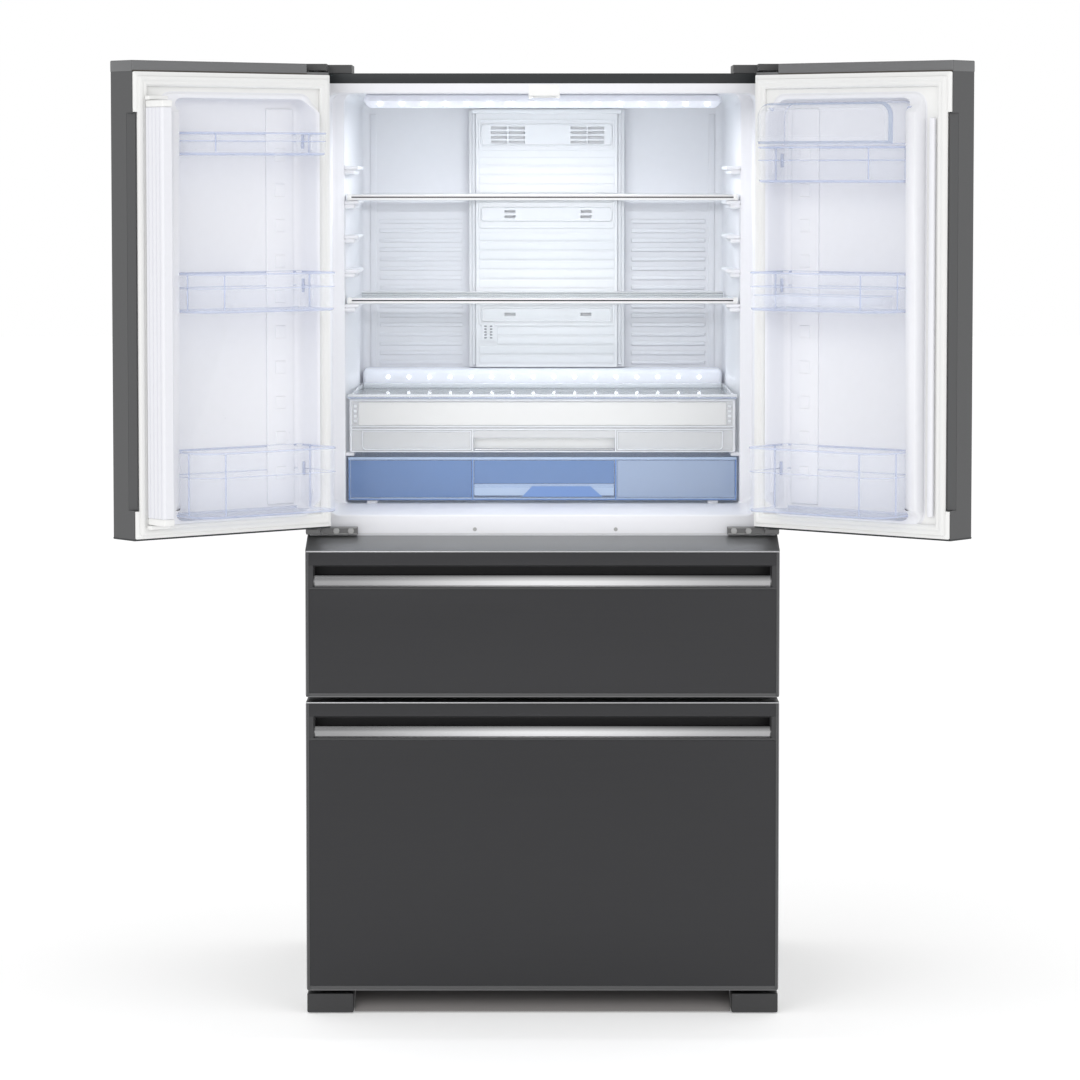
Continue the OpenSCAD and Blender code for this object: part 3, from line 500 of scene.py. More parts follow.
def back_wall_ribs():
    """Embossed ribs of the back wall beside the air duct cover, and an upright bead at each end."""
    duct_lo, duct_hi = mm(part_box("air_duct_cover"))
    right = (duct_hi.x + 14, WALL_X[1] - 34, 3.2)
    left = (-WALL_X[1] + 34, duct_lo.x - 14, 1.4)
    shape = Shape()
    for k in range(16):
        z = duct_lo.z + 4 + 18 * k
        for x0, x1, rise in (right, left):
            shape.box((x0, BACK_Y - rise, z), (x1, BACK_Y + 0.5, z + 8), 2.4)
    shape.pair((WALL_X[1] - 28, BACK_Y - 2, FLOOR + 190), (WALL_X[1] - 16, BACK_Y + 0.5, CEILING - 30), 1.5)
    shape.make("back_wall_ribs", "cabinet", "liner_white", [liner_white])


def duct_details():
    """Ribs of the air duct cover, the sensor cover's slots as grey marks of painted shade, the vents'
    raised frames and the hood.
    """
    lo, hi = mm(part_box("air_duct_cover"))
    y = lo.y
    face = (lo.x + 19, hi.x - 19)
    sensor_lo, sensor_hi = mm(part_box("sensor_cover"))
    duct = Shape()
    for k in range(25):
        z = lo.z + 8 + 18 * k
        if not any(low - 14 < z < high + 2 for low, high, _, _ in VENTS):
            beside = sensor_lo.z - 16 < z < sensor_hi.z + 3
            x0 = sensor_hi.x + 5 if beside else face[0]
            duct.box((x0, y - 1.3, z), (face[1], y + 1, z + 14.5), 1.2)
    duct.make("duct_ribs", "cabinet", "liner_white", [duct_white])
    # The slots are small raised marks whose grey is painted shade, not openings.
    slots = Shape()
    for row in range(5):
        z = sensor_lo.z + (0.16 + 0.17 * row) * (sensor_hi.z - sensor_lo.z)
        for share in (0.28, 0.72):
            x = sensor_lo.x + share * (sensor_hi.x - sensor_lo.x)
            slots.box((x - 2.4, sensor_lo.y - 0.3, z - 1.1), (x + 2.4, sensor_lo.y + 0.6, z + 1.1), 0.8)
    slots.make("sensor_slots", "cabinet", "liner_white", [slot_painted_shade])
    frames = Shape()
    for low, high, inner_low, inner_high in VENTS:
        for z0, z1, grow, width, rise in ((low, high, 1, 4, 2.2), (inner_low, inner_high, -4, 2.5, 3)):
            a, b = (face[0] - grow, z0), (face[1] + grow, z1)
            rim = [outline(a, b, 6, inset) for inset in (0, 0.8, width - 0.8, width)]
            frames.loft([at_y(rim[0], y + 1), at_y(rim[0], y - 0.6 * rise),
                         at_y(rim[1], y - rise), at_y(rim[2], y - rise),
                         at_y(rim[3], y - 0.6 * rise), at_y(rim[3], y + 1)], closed=True)
    frames.box((lo.x + 5, y - 7, hi.z - 8), (hi.x - 5, y + 14, hi.z + 1), 3)
    for x in (lo.x + 6, hi.x - 13):
        frames.box((x, y + 7, lo.z + 4), (x + 7, y + 15, hi.z - 6), 2.5)
    frames.make("vent_frames", "cabinet", "liner_white", [duct_white])


def cabinet_trim():
    """Dark band over the opening, the shell's edge strips, and the lower hinges' washers and lips."""
    band = Shape()
    edge = HALF_W - 0.5
    band.box((-edge, FRONT_Y - 0.4, liner_hi.z + 0.3), (edge, FRONT_Y + 1.5, shell_hi.z - 0.4), 0.8)
    band.make("top_band", "cabinet", "graphite_steel", [dark_trim])
    strips = Shape()
    strips.pair((HALF_W - 3.5, FRONT_Y - 0.5, shell_lo.z), (HALF_W + 0.3, FRONT_Y + 2, liner_hi.z), 0.8)
    strips.make("edge_strips", "cabinet", "graphite_steel", [graphite])
    bracket = Shape()
    z = liner_lo.z + 6.5
    for side in (-1, 1):
        for x in (HALF_W - 52, HALF_W - 78):
            bracket.rod("y", (side * x, z), 5.6, (FRONT_Y - 17.4, FRONT_Y - 15.8), edge=0.6)
    for low in (z - 6.2, z + 4.4):
        bracket.pair((HALF_W - 89, FRONT_Y - 16.8, low), (HALF_W - 26, FRONT_Y - 14, low + 1.8), 0.8)
    bracket.make("lower_bracket_trims", "cabinet", "zinc_steel", [zinc])


STRIP_X, BAR_X = 322, 342  # halves of the widths of the strip and of the bar
BAR_Z = (1090, 1125)


def lights():
    """Frosted light strip with its sixteen diodes, and the bar behind the crisper cover with as many."""
    covers = Shape()
    z0, z1 = CEILING - 25, CEILING - 0.5
    rings = []
    for inset, z in ((16, z0), (10, z0 + 0.8), (5, z0 + 5), (1, z0 + 12), (6, z1 - 3), (12, z1)):
        points = outline((-STRIP_X, depth(200)), (STRIP_X, depth(240)), 19, inset * 0.9)
        taper = 1 + 0.02 * (z - z0) / (z1 - z0)
        rings.append(at_z([(x * taper, y) for x, y in points], z))
    covers.loft(rings)
    bar_y = BACK_Y - 68
    covers.box((-BAR_X, bar_y, BAR_Z[0]), (BAR_X, BACK_Y - 0.5, BAR_Z[1]), 9, steps=4)
    covers.make("light_covers", "cabinet", "light_cover", [light_cover], replaces=["compartment_lights"])
    diodes = Shape()
    for k in range(16):
        x = -294 + 39.5 * k
        diodes.rod("y", (x, z0 + 7.5), 4, (depth(200.4), depth(207)), edge=1.6)
        diodes.rod("y", (x, BAR_Z[1] - 15), 3.6, (bar_y - 1.2, bar_y + 3), edge=1.4)
    diodes.make("light_diodes", "cabinet", "light_cover", [led_white])


def flap_guide():
    """Cup at the ceiling that turns the mullion flap: front, two sides, roof and back."""
    lo, hi = mm(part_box("flap_guide"))
    shape = Shape()
    shape.box((lo.x, lo.y - 0.4, CEILING - 6), (hi.x, lo.y + 4, hi.z - 1), 1.5)
    for x in (lo.x, hi.x - 8):
        shape.box((x, lo.y + 4, lo.z), (x + 8, hi.y, CEILING - 0.4), 1.5)
    shape.box((lo.x + 4, lo.y + 4, CEILING - 4), (hi.x - 4, hi.y, CEILING - 0.4), 1)
    shape.box((lo.x + 4, hi.y - 6, lo.z + 1), (hi.x - 4, hi.y, CEILING - 2), 1)
    shape.make("flap_guide_cam", "cabinet", "light_cover", [border_white], replaces=["flap_guide"])


def shelf_details():
    """Dark groove and white end pieces of each shelf rail, and the rim of the cover over the cases."""
    grooves, caps = Shape(), Shape()
    y0 = mm(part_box("shelf_trims"))[0].y
    half = WALL_X[0] - 3.5
    for z in (LEDGE_TOP, LEDGE_TOP + 3 * LEDGE_PITCH):
        grooves.box((-half + 8, y0 - 0.5, z + 4.6), (half - 8, y0 + 1.5, z + 7), 0.8)
        caps.pair((half - 8, y0 - 0.9, z - 0.05), (half + 0.4, y0 + 26, z + 11.6), 2.4)
    grooves.make("shelf_rail_lines", "cabinet", "bright_metal", [shadow_black])
    caps.make("shelf_end_caps", "cabinet", "liner_white", [border_white])
    lo, hi = mm(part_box("crisper_cover"))
    rim = Shape()
    rim.box((lo.x + 1, lo.y - 0.4, lo.z + 3.2), (hi.x - 1, lo.y + 9, hi.z + 0.6), 1.4)
    rim.box((lo.x + 1, lo.y - 0.2, lo.z - 0.1), (hi.x - 1, lo.y + 7, lo.z + 2.6), 1, 1)
    rim.pair((hi.x - 13, lo.y + 4, lo.z + 0.9), (hi.x - 7.5, hi.y, hi.z + 2.5), 1.2)
    rim.box((lo.x + 14, hi.y - 6, lo.z + 0.9), (hi.x - 14, hi.y + 1, hi.z + 2.5), 1.2)
    rim.make("crisper_cover_rim", "cabinet", "shelf_glass", [frosted_edge, clear_edge])


def under_pan():
    """Beaded sheet that closes the cabinet from below, in front of the machine compartment."""
    back = mm(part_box("base_tray"))[0].y
    z = shell_lo.z + 2.6
    shape = Shape()
    shape.box((-HALF_W + 2.5, FRONT_Y + 4, z), (HALF_W - 2.5, back - 1, z + 2), 0.8)
    for k in range(5):
        y = FRONT_Y + 60 + 70 * k
        shape.box((-HALF_W + 60, y, z - 2), (HALF_W - 60, y + 22, z + 0.5), 1.8)
    shape.make("under_pan", "cabinet", "zinc_steel", [galvanised])


def rear_details():
    """Beads of the rear sheet, the screws of the sheet and of the machine cover, and the inlet's pins."""
    lo, hi = mm(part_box("rear_panel"))
    tall = hi.z - lo.z
    beads = Shape()
    for k in range(4):
        z0 = lo.z + (0.06 + 0.235 * k) * tall
        outer, crest, inner = [outline((lo.x + 60, z0), (hi.x - 60, z0 + 0.19 * tall), 30, inset)
                               for inset in (0, 5, 10)]
        beads.loft([at_y(outer, hi.y - 0.5), at_y(crest, hi.y + 3), at_y(inner, hi.y - 0.5)], closed=True)
    beads.make("rear_beads", "cabinet", "zinc_steel", [galvanised])
    cover_lo, cover_hi = mm(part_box("machine_cover"))
    screws = Shape()
    for share in (-0.94, -0.32, 0.32, 0.94):
        for z in (cover_hi.z - 8, cover_lo.z + 8, hi.z - 14):
            screws.rod("y", (share * cover_hi.x, z), 4.5, (hi.y - 0.5, hi.y + 2.6), edge=1, sides=18)
    screws.make("rear_screws", "cabinet", "zinc_steel", [zinc])
    inlet_lo, inlet_hi = mm(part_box("power_inlet"))
    middle = (inlet_lo + inlet_hi) / 2
    pins = Shape()
    for dx, dz in ((-7, -2), (0, 3), (7, -2)):
        x, z = middle.x + dx, middle.z + dz
        pins.box((x - 1, inlet_lo.y + 3, z - 2), (x + 1, inlet_hi.y - 2, z + 2), 0.4)
    pins.make("inlet_pins", "cabinet", "zinc_steel", [zinc])


# == Cases under the shelves ==

GRIP_X = (-125, 131)  # finger recess of both cases


def raised_frame(shape, lo, hi, radii, y):
    """A raised line with a flat crest around a panel."""
    rim = [outline(lo, hi, radii, inset) for inset in (0, 0.65, 1.95, 2.6)]
    places = (y + 0.6, y - 2, y - 2, y + 0.6)
    shape.loft([at_y(points, place) for points, place in zip(rim, places)], 1, closed=True)


def chilled_case_details():
    """Frosted front: deep upper panel, a double rail, framed lower panels and a lipped finger recess."""
    lo, hi = mm(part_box("chilled_case"))
    y = lo.y
    mid = lo.z + 46
    shape = Shape()
    shape.box((lo.x - 0.2, y - 2.5, hi.z - 4), (hi.x + 0.2, y + 2, hi.z + 0.2), 1.5, 1)
    shape.box((lo.x + 16, y - 3, mid + 3), (hi.x - 16, y + 1, hi.z - 6), 2.5)
    shape.box((lo.x, y - 4, mid - 0.4), (hi.x, y + 1, mid + 2.2), 1.1, 1)
    shape.box((lo.x, y - 3.4, mid - 6), (hi.x, y + 1, mid - 3.4), 1.1, 1)
    shape.box((lo.x, y - 2.4, lo.z), (hi.x, y + 0.5, lo.z + 2.4), 1.1, 1)
    raised_frame(shape, (lo.x + 22, lo.z + 4), (GRIP_X[0] - 4, mid - 7), (7, 1, 1, 1), y)
    raised_frame(shape, (GRIP_X[1] + 4, lo.z + 4), (hi.x - 22, mid - 7), (1, 7, 1, 1), y)
    for x in (GRIP_X[0] - 2, GRIP_X[1] + 2):
        shape.box((x - 1.3, y - 3, lo.z + 1), (x + 1.3, y + 12, mid - 5), 1, 1)
    shape.box((GRIP_X[0] + 1, y + 3, lo.z + 2.6), (GRIP_X[1] - 1, y + 5.6, lo.z + 5.6), 1.2, 2)
    shape.box((GRIP_X[0], y + 14.5, lo.z + 6), (GRIP_X[1], y + 16.2, lo.z + 24.5), 0.6)
    shape.pair((hi.x - 4.5, y - 2, lo.z), (hi.x + 0.4, y + 5, hi.z), 1.5, 1)
    for k in range(4):
        z = mid + 8 + 9 * k
        shape.pair((hi.x - 13, y - 1.6, z), (hi.x - 7, y + 1, z + 5), 1.2, 1)
    shape.make("chilled_case_front", "chilled_case", "clear_plastic", [frosted_wall, frosted_edge, silver])


def cooling_case_details():
    """Blue front: pale top rail, panels between bright-edged ribs, the right panel lighter as painted
    light, a pale band and a grip in the middle.
    """
    lo, hi = mm(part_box("cooling_case"))
    y = lo.y
    middle = (GRIP_X[0] + 1, GRIP_X[1] - 1)
    shape = Shape()
    shape.box((lo.x - 0.2, y - 3, hi.z - 4.5), (hi.x + 0.2, y + 2, hi.z + 0.2), 1.4, 2)
    shape.box((lo.x, y - 2, lo.z + 2.2), (hi.x, y + 0.5, lo.z + 4.2), 0.9, 2)
    shape.box((lo.x, y - 2, lo.z), (hi.x, y + 0.5, lo.z + 2), 0.9, 1)
    # The right panel takes the lighter blue, painted light on that side of the case.
    for x0, x1, mark in ((lo.x + 4, GRIP_X[0] - 4, 0), (GRIP_X[1] + 5, hi.x - 4, 3)):
        shape.box((x0, y - 1.2, lo.z + 5), (x1, y + 0.6, hi.z - 6), 0.8, mark)
    shape.box((middle[0], y - 1.2, lo.z + 30), (middle[1], y + 0.6, hi.z - 6), 0.8)
    shape.box((middle[0], y + 0.4, lo.z + 8), (middle[1], y + 2.2, lo.z + 29), 0.8, 2)
    for x in (lo.x + 2, GRIP_X[0] - 2, GRIP_X[1] + 2, hi.x - 2):
        shape.box((x - 1.2, y - 2.4, lo.z), (x + 1.2, y + 3, hi.z - 2), 0.8, 1)
        shape.box((x + 1.6, y - 1.8, lo.z + 4), (x + 2.6, y + 2, hi.z - 5), 0.4, 2)
    low, high = lo.z + 6, lo.z + 25
    grip = [(GRIP_X[0] + 88, low), (GRIP_X[1] - 22, low), (GRIP_X[1] - 44, high), (GRIP_X[0] + 106, high)]
    shape.prism(grip, "y", (y - 1.8, y - 0.2), 1)
    shape.make("cooling_case_front", "cooling_case", "blue_plastic",
               [blue_wall, blue_edge, blue_light, blue_wall_painted_light])


# == Doors ==

DOOR_LOW, DOOR_TOP = (corner.z for corner in shut_box("left_door_skin", "left"))
LINER_LO, LINER_HI = shut_box("left_door_liner", "left")
GRIP_Z = (DOOR_LOW + 52, DOOR_TOP - 89)  # grip channel in the free edge
POCKET = ((77, HALF_W - 50), (DOOR_LOW + 30, DOOR_TOP - 63))
PLUG = ((54, HALF_W - 42), (POCKET[1][0] - 8, POCKET[1][1] + 9))
BORDER = ((3, HALF_W - 1), (LINER_LO.z, LINER_HI.z))
DIKE_R = 24  # corners of the plug and of the pocket, in front view
CHANNEL = 8.4  # depth of the grip channel
TABS_Z, TAB_TALL = range(960, 1580, 62), 22  # row of small tabs on the pocket's floor
BEAD = ((32, 42), (910, 1591))  # upright bead on the right door's border


def door_outline(u, z, r, inset=0.0, notch=0.0):
    """Outline of a door liner, with the step beside the grip channel in its free edge."""
    points = outline((u[0], z[0]), (u[1], z[1]), r, inset)
    u0 = u[0] + inset
    low, high = GRIP_Z[0] - 1.6, GRIP_Z[1] + 1.6
    return points + [(u0, high), (u0 + notch, high - 0.2), (u0 + notch, low + 0.2), (u0, low)]


def door_liner(side):
    """Vacuum-formed liner: flat border, plug with two upright dikes, and the pocket behind the racks."""
    face, low_crest, crest, floor = depth(70), depth(75), depth(110), depth(45)

    def border(y, inset=0.0, notch=CHANNEL):
        return at_y(door_outline(*BORDER, 2, inset, notch), y)

    def wall(area, y, inset=0.0):
        return at_y(door_outline(*area, DIKE_R, inset), y)

    def top(area, inset, drop):
        """The dikes' tops: high along the sides and low along the top and bottom."""
        points = []
        for u, z in door_outline(*area, DIKE_R, inset):
            share = max(0.0, min(1.0, (min(z - PLUG[1][0], PLUG[1][1] - z) - 10) / 34))
            rise = share * share * (3 - 2 * share)
            points.append((u, low_crest + (crest - low_crest) * rise - drop * (0.2 + 0.8 * rise), z))
        return points

    rings = [
        border(depth(20), 1, 0), border(depth(47), 1, 0), border(depth(48), 0.6), border(depth(66), 0.6),
        border(face - 1), border(face, 1), wall(PLUG, face, -2), wall(PLUG, face + 1), top(PLUG, 0.8, 12),
        top(PLUG, 2, 3), top(PLUG, 4, 0.2), top(POCKET, -2.5, 0.2), top(POCKET, -0.6, 3),
        top(POCKET, 0, 12), wall(POCKET, face - 3, 0.5), wall(POCKET, floor + 9, 2),
        wall(POCKET, floor + 2.5, 5), wall(POCKET, floor, 12),
    ]
    shape = Shape().loft(rings, marks=[1] * 6 + [0] * 11)
    (pocket_u0, pocket_u1), (low, high) = POCKET
    shape.box((pocket_u1 - 74, floor - 1, low + 16), (pocket_u1 - 16, floor + 3, high - 16), 2.5)
    for z in TABS_Z:
        shape.box((pocket_u1 - 56, floor + 2, z), (pocket_u1 - 34, floor + 4.2, z + TAB_TALL), 1.6)
    for name in ("upper", "middle", "lower"):
        lo, hi = shut_box(f"{side}_{name}_rack", side)
        for u0, u1 in ((pocket_u0 - 1, lo.x), (hi.x, pocket_u1 + 1)):
            if u1 - u0 > 1:
                shape.box((u0, depth(62), lo.z + 0.25 * (hi.z - lo.z)), (u1, depth(84), hi.z - 6), 1)
    if side == "right":
        (u0, u1), (z0, z1) = BEAD
        shape.box((u0, depth(71), z0), (u1, depth(80), z1), 2.5)
    shape.make(f"{side}_door_inner", f"{side}_door", "liner_white", [liner_white, border_white],
               replaces=[f"{side}_door_liner"], place=DOOR[side], angle=50)


def door_gasket(side):
    """Magnetic seal with its bulb, groove and lip, mitred at the corners."""
    lo, hi = shut_box(f"{side}_door_gasket", side)
    profile = [(0, 0.2), (0, 4), (1.2, 6.3), (3.5, 7.3), (7.5, 7.3), (8.6, 6.5), (10.4, 6.5), (11.4, 7),
               (14.5, 7), (16.4, 5.6), (18, 3.6), (18, 0.2)]
    rings = [at_y(outline(lo.xz, hi.xz, 2, inset, 1), lo.y + rise) for inset, rise in profile]
    shape = Shape().loft(rings, closed=True)
    shape.make(f"{side}_door_seal", f"{side}_door", "seal_white", [seal_white],
               replaces=[f"{side}_door_gasket"], place=DOOR[side], angle=28)


def door_caps(side):
    """Moulded caps of a door, the top one lower over the hinge, and the door's panel, seam and grip."""
    lo, hi = shut_box(f"{side}_door_skin", side)
    body, place = f"{side}_door", DOOR[side]
    step_u = HALF_W - 49
    front, back = lo.y - 0.5, hi.y + 0.5
    shape = Shape()

    def cap(u0, u1, radii, levels, mark=0):
        shape.loft([at_z(outline((u0, front), (u1, back), radii, inset), z) for inset, z in levels], mark)

    cap(lo.x - 0.4, step_u, (4, 1, 1, 2),
        ((0, hi.z - 18.4), (0, hi.z - 1.6), (0.5, hi.z - 0.5), (1.8, hi.z + 0.2)))
    cap(step_u + 0.2, hi.x + 0.4, (1, 5, 4, 1), ((0, hi.z - 18.4), (0, hi.z - 15.2), (1, hi.z - 14.2)))
    cap(lo.x - 0.4, hi.x + 0.4, (4, 5, 3, 2), ((1, lo.z - 0.3), (0, lo.z + 0.8), (0, lo.z + 2.6)), 1)
    shape.make(f"{side}_door_caps", body, "graphite_steel", [cap_grey, dark_trim], place=place)
    panel = Shape()
    panel.box((lo.x + 4, lo.y - 0.8, lo.z + 5), (hi.x - 3.5, lo.y + 0.8, hi.z - 20), 0.7)
    panel.make(f"{side}_door_panel", body, "graphite_steel", [brushed_dark], place=place)
    seam = Shape()
    y0, y1 = hi.y - 0.4, hi.y + 1.8
    seam.box((2.6, y0, LINER_HI.z + 0.3), (step_u, y1, LINER_HI.z + 2.4), 0.8)
    seam.box((HALF_W - 1.4, y0, lo.z + 5), (HALF_W + 0.2, y1, LINER_HI.z - 2), 0.7)
    seam.make(f"{side}_door_seam", body, "dark_plastic", [seam_brown], place=place)
    grip = Shape()
    low, high = depth(49.4), depth(65.8)
    grip.prism([(2.3, low), (9.7, low), (9.7, high), (8.6, high)], "z", (GRIP_Z[0] + 0.5, GRIP_Z[1] - 0.5))
    grip.make(f"{side}_door_grip", body, "dark_plastic", [graphite], place=place)


RACK_RADII = (46, 20)  # front corners at the free edge and at the hinge


def rack(side, name):
    """Clear door rack: rounded base, moulded line round its middle, and a thicker rim."""
    node = f"{side}_{name}_rack"
    lo, hi = shut_box(node, side)
    corner = RACK_RADII[0]
    line = lo.z + 0.62 * (hi.z - lo.z)
    outside = [(9, lo.z), (5, lo.z + 0.6), (2.6, lo.z + 2.4), (1.8, lo.z + 5), (1.1, line - 0.8),
               (0.3, line - 0.3), (0.3, line + 0.5), (1, line + 1), (1, hi.z - 3.4), (0, hi.z - 2.8)]
    inside = [(0, hi.z - 0.8), (0.8, hi.z), (2.2, hi.z), (3, hi.z - 0.8), (3.2, line), (4.2, lo.z + 6),
              (6.5, lo.z + 3.6), (11, lo.z + 3)]
    radii = (3, 3, RACK_RADII[1], corner)
    rings = [at_z(outline(lo, hi, radii, inset, 8), z) for inset, z in outside + inside]
    shape = Shape().loft(rings, marks=[1, 1, 1, 0, 1, 1, 1, 0, 1, 1, 1, 1, 1, 0, 0, 0, 0])
    for u in (lo.x + 1.2, hi.x - 1.2):
        shape.box((u - 1.6, lo.y + 10, line - 12), (u + 1.6, lo.y + 16, line + 12), 1.2, 1)
        shape.box((u - 1.6, lo.y + 30, lo.z + 3), (u + 1.6, lo.y + 33, hi.z - 1), 1.2, 1)
    for u, y in ((lo.x + 0.9, hi.y - corner), (lo.x + corner, hi.y - 0.9)):
        shape.box((u - 1.2, y - 1.2, lo.z + 6), (u + 1.2, y + 1.2, hi.z - 3), 0.8, 1)
    shape.make(f"{side}_{name}_door_rack", f"{side}_door", "clear_plastic", [clear_wall, clear_edge],
               replaces=[node], place=DOOR[side])


def mullion_flap():
    """Folding bar with grooves along one side and end caps, and its two lugs on the left door."""
    lo, hi = shut_box("mullion_flap", "left")
    u0, u1, y0, y1 = lo.x, hi.x, lo.y, hi.y
    sunk = 1.4
    points = [(u0 + 1.5, y0), (u1 - 1.5, y0), (u1, y0 + 1.5), (u1, y1 - 3), (u1 - 3, y1), (u0 + 3, y1),
              (u0, y1 - 3)]
    for k in range(3, -1, -1):
        y = y0 + 7 + 11 * k
        points += [(u0, y + 3.6), (u0 + sunk, y + 3), (u0 + sunk, y + 0.6), (u0, y)]
    points.append((u0, y0 + 1.5))
    shape = Shape().prism(points, "z", (lo.z + 12, hi.z - 12))
    for z in (lo.z, hi.z - 11.8):
        shape.box((u0, y0, z), (u1, y1, z + 11.8), 2.5, 1)
    shape.make("mullion_flap_bar", "mullion_flap", "liner_white", [flap_white, border_white],
               replaces=["mullion_flap"], place=DOOR["left"])
    lugs = Shape()
    for z in (lo.z - 8, hi.z + 1):
        lugs.box((19, depth(79), z), (60, depth(91), z + 7), 2)
    lugs.make("flap_lugs", "left_door", "liner_white", [border_white], place=DOOR["left"])


def egg_tray():
    """Clear tray with two rows of five cups, each a ring that narrows downwards."""
    lo, hi = shut_box("egg_tray", "right")
    steps = [(4, lo.z), (1.5, lo.z + 2), (0.6, hi.z - 2), (0, hi.z - 1.5), (0, hi.z), (2.2, hi.z),
             (2.8, hi.z - 1.5), (4, lo.z + 4), (6, lo.z + 2.4)]
    shape = Shape()
    shape.loft([at_z(outline(lo, hi, 8, inset), z) for inset, z in steps], marks=[0, 0, 0, 1, 1, 0, 0, 0])
    pitch = (hi.x - lo.x - 8) / 5
    r = pitch / 2 - 1.2
    cup = [(r, hi.z - 1.5), (r, hi.z - 3.5), (r - 4, lo.z + 7), (r - 5.5, lo.z + 7), (r - 2, hi.z - 3.5),
           (r - 2, hi.z - 1.5)]
    for row in (-1, 1):
        y = (lo.y + hi.y) / 2 + row * 25.5
        for k in range(5):
            u = lo.x + 4 + pitch * (k + 0.5)
            shape.loft([at_z(circle(u, y, radius), z) for radius, z in cup], closed=True)
    shape.make("egg_holder", "right_door", "clear_plastic", [clear_wall, clear_edge],
               replaces=["egg_tray"], place=DOOR["right"])


def rack_cover():
    """Clear flip-up cover: rounded in front view and at its upper front edge."""
    lo, hi = shut_box("rack_cover", "right")
    rack_lo, rack_hi = shut_box("right_upper_rack", "right")
    u0, u1, z0, z1 = rack_lo.x + 1, rack_hi.x - 1, lo.z, hi.z

    def arch(inset, y):
        """The cover's outline at a depth, open at the bottom."""
        top = outline((u0, z0), (u1, z1), (SHARP, SHARP, 26, 26), inset, 8)
        return at_y(top[8:], depth(y))

    skin = ((0, 54), (0, 118), (1.5, 131), (6, 139), (13, 142))
    lining = ((14.5, 139.5), (8, 136.5), (4, 129.5), (2.5, 118), (2.5, 54))
    shape = Shape().loft([arch(*place) for place in skin + lining], marks=[0, 0, 2, 0, 0, 0, 0, 0, 0, 1],
                         closed=True)
    plate = outline((u0 + 13, z0 + 0.5), (u1 - 13, z1 - 13), (1, 1, 14, 14), -0.8)
    shape.loft([at_y(plate, depth(139.6)), at_y(plate, depth(141.9))])
    pin = (DOOR["right"].inverted() @ Vector(JOINTS["rack_cover_lift"]["pos_m"])) / MM
    for a, b in ((u0 - 7, u0 + 1), (u1 - 1, u1 + 7)):
        shape.rod("x", pin.yz, 3, (a, b), mark=1)
    shape.make("rack_cover_shell", "rack_cover", "clear_plastic", [clear_wall, clear_edge, cover_line],
               replaces=["rack_cover"], place=DOOR["right"])


# == Drawers ==

UPPER_PANEL, UPPER_RECESS = (577, 760.4), (765, 803)  # heights of the panels and handle recesses
LOWER_PANEL, LOWER_RECESS = (52, 491.4), (496, 534)
RECESS_X = 405.4  # half the width of a handle recess
CAP_Z = 829  # front edge of the sloping cap of the upper drawer


def drawer_dress(name, lo, hi, panel, recess, cap):
    """Brushed panels in a thin frame, bright edge lines, cap and a near-black painted shadow lining each
    handle recess on a drawer front.
    """
    body = f"{name}_drawer"
    y, side = lo.y, HALF_W
    line_z = CAP_Z - 1.8 if cap else hi.z - 1.9
    shape = Shape()
    for z0, z1, rise, r in ((*panel, 1, 0.7), (recess[1] + 0.4, line_z - 1, 0.8, 0.6)):
        shape.box((6.2 - side, y - rise, z0), (side - 6.2, y + 1, z1), r)
    shape.make(f"{name}_panel", body, "drawer_steel", [brushed_dark])
    trims = Shape()
    trims.pair((side - 1.6, y - 0.5, lo.z + 3), (side + 0.3, y + 2.4, line_z - 0.5), 0.9)
    trims.pair((side - 5.4, y - 0.7, lo.z + 2), (side - 2.1, y + 1, line_z - 1), 0.7, 1)
    for z0, z1, mark in ((lo.z + 1.6, panel[0] - 0.9, 1), (panel[1] + 0.9, recess[0] - 0.2, 2)):
        trims.box((5.6 - side, y - 0.7, z0), (side - 5.6, y + 1, z1), 0.9, mark)
    trims.box((1 - side, y - 0.5, lo.z), (side - 1, y + 2, lo.z + 1.4), 0.6)
    trims.make(f"{name}_trims", body, "drawer_steel", [edge_grey, graphite, band_grey])
    # Near-black sheets at the back, top and ends of the handle recess: painted shadow inside the recess.
    lining = Shape()
    x, low, high = RECESS_X, recess[0] + 0.5, recess[1] - 0.5
    lining.box((-x, y + 28.2, low), (x, y + 29.8, high), 0.5)
    lining.box((-x, y + 1, high - 0.9), (x, y + 29, high + 0.3), 0.5)
    lining.pair((x - 1.5, y + 1, low), (x, y + 29, high), 0.5)
    lining.make(f"{name}_recess_painted_shadow", body, "dark_plastic", [shadow_black])
    rail = Shape()
    if cap:
        points = [(y - 0.8, CAP_Z - 1.2), (y - 0.4, CAP_Z + 0.8), (y + 2, CAP_Z + 2),
                  (y + 40, CAP_Z + 12.2), (y + 74, hi.z + 0.2), (y + 76, hi.z - 1), (y + 76, hi.z - 4),
                  (y + 30, CAP_Z + 4), (y + 3, CAP_Z - 1.6)]
        rail.prism(points, "x", (-side - 0.2, side + 0.2))
    else:
        rail.box((-side - 0.2, y + 0.8, hi.z - 2), (side + 0.2, y + 70, hi.z + 0.3), 1)
    # The lower drawer's top takes the near-black frame grey as painted shade in the gap under the upper
    # drawer; the upper drawer's sloping cap keeps the lighter cap grey.
    rail.make(f"{name}_cap", body, "graphite_steel", [drawer_cap if cap else drawer_frame])
    line = Shape()
    line.box((0.5 - side, y - 1.2, line_z), (side - 0.5, y + 0.7, line_z + 1.6), 0.6)
    line.make(f"{name}_bright_line", body, "bright_metal", [silver])


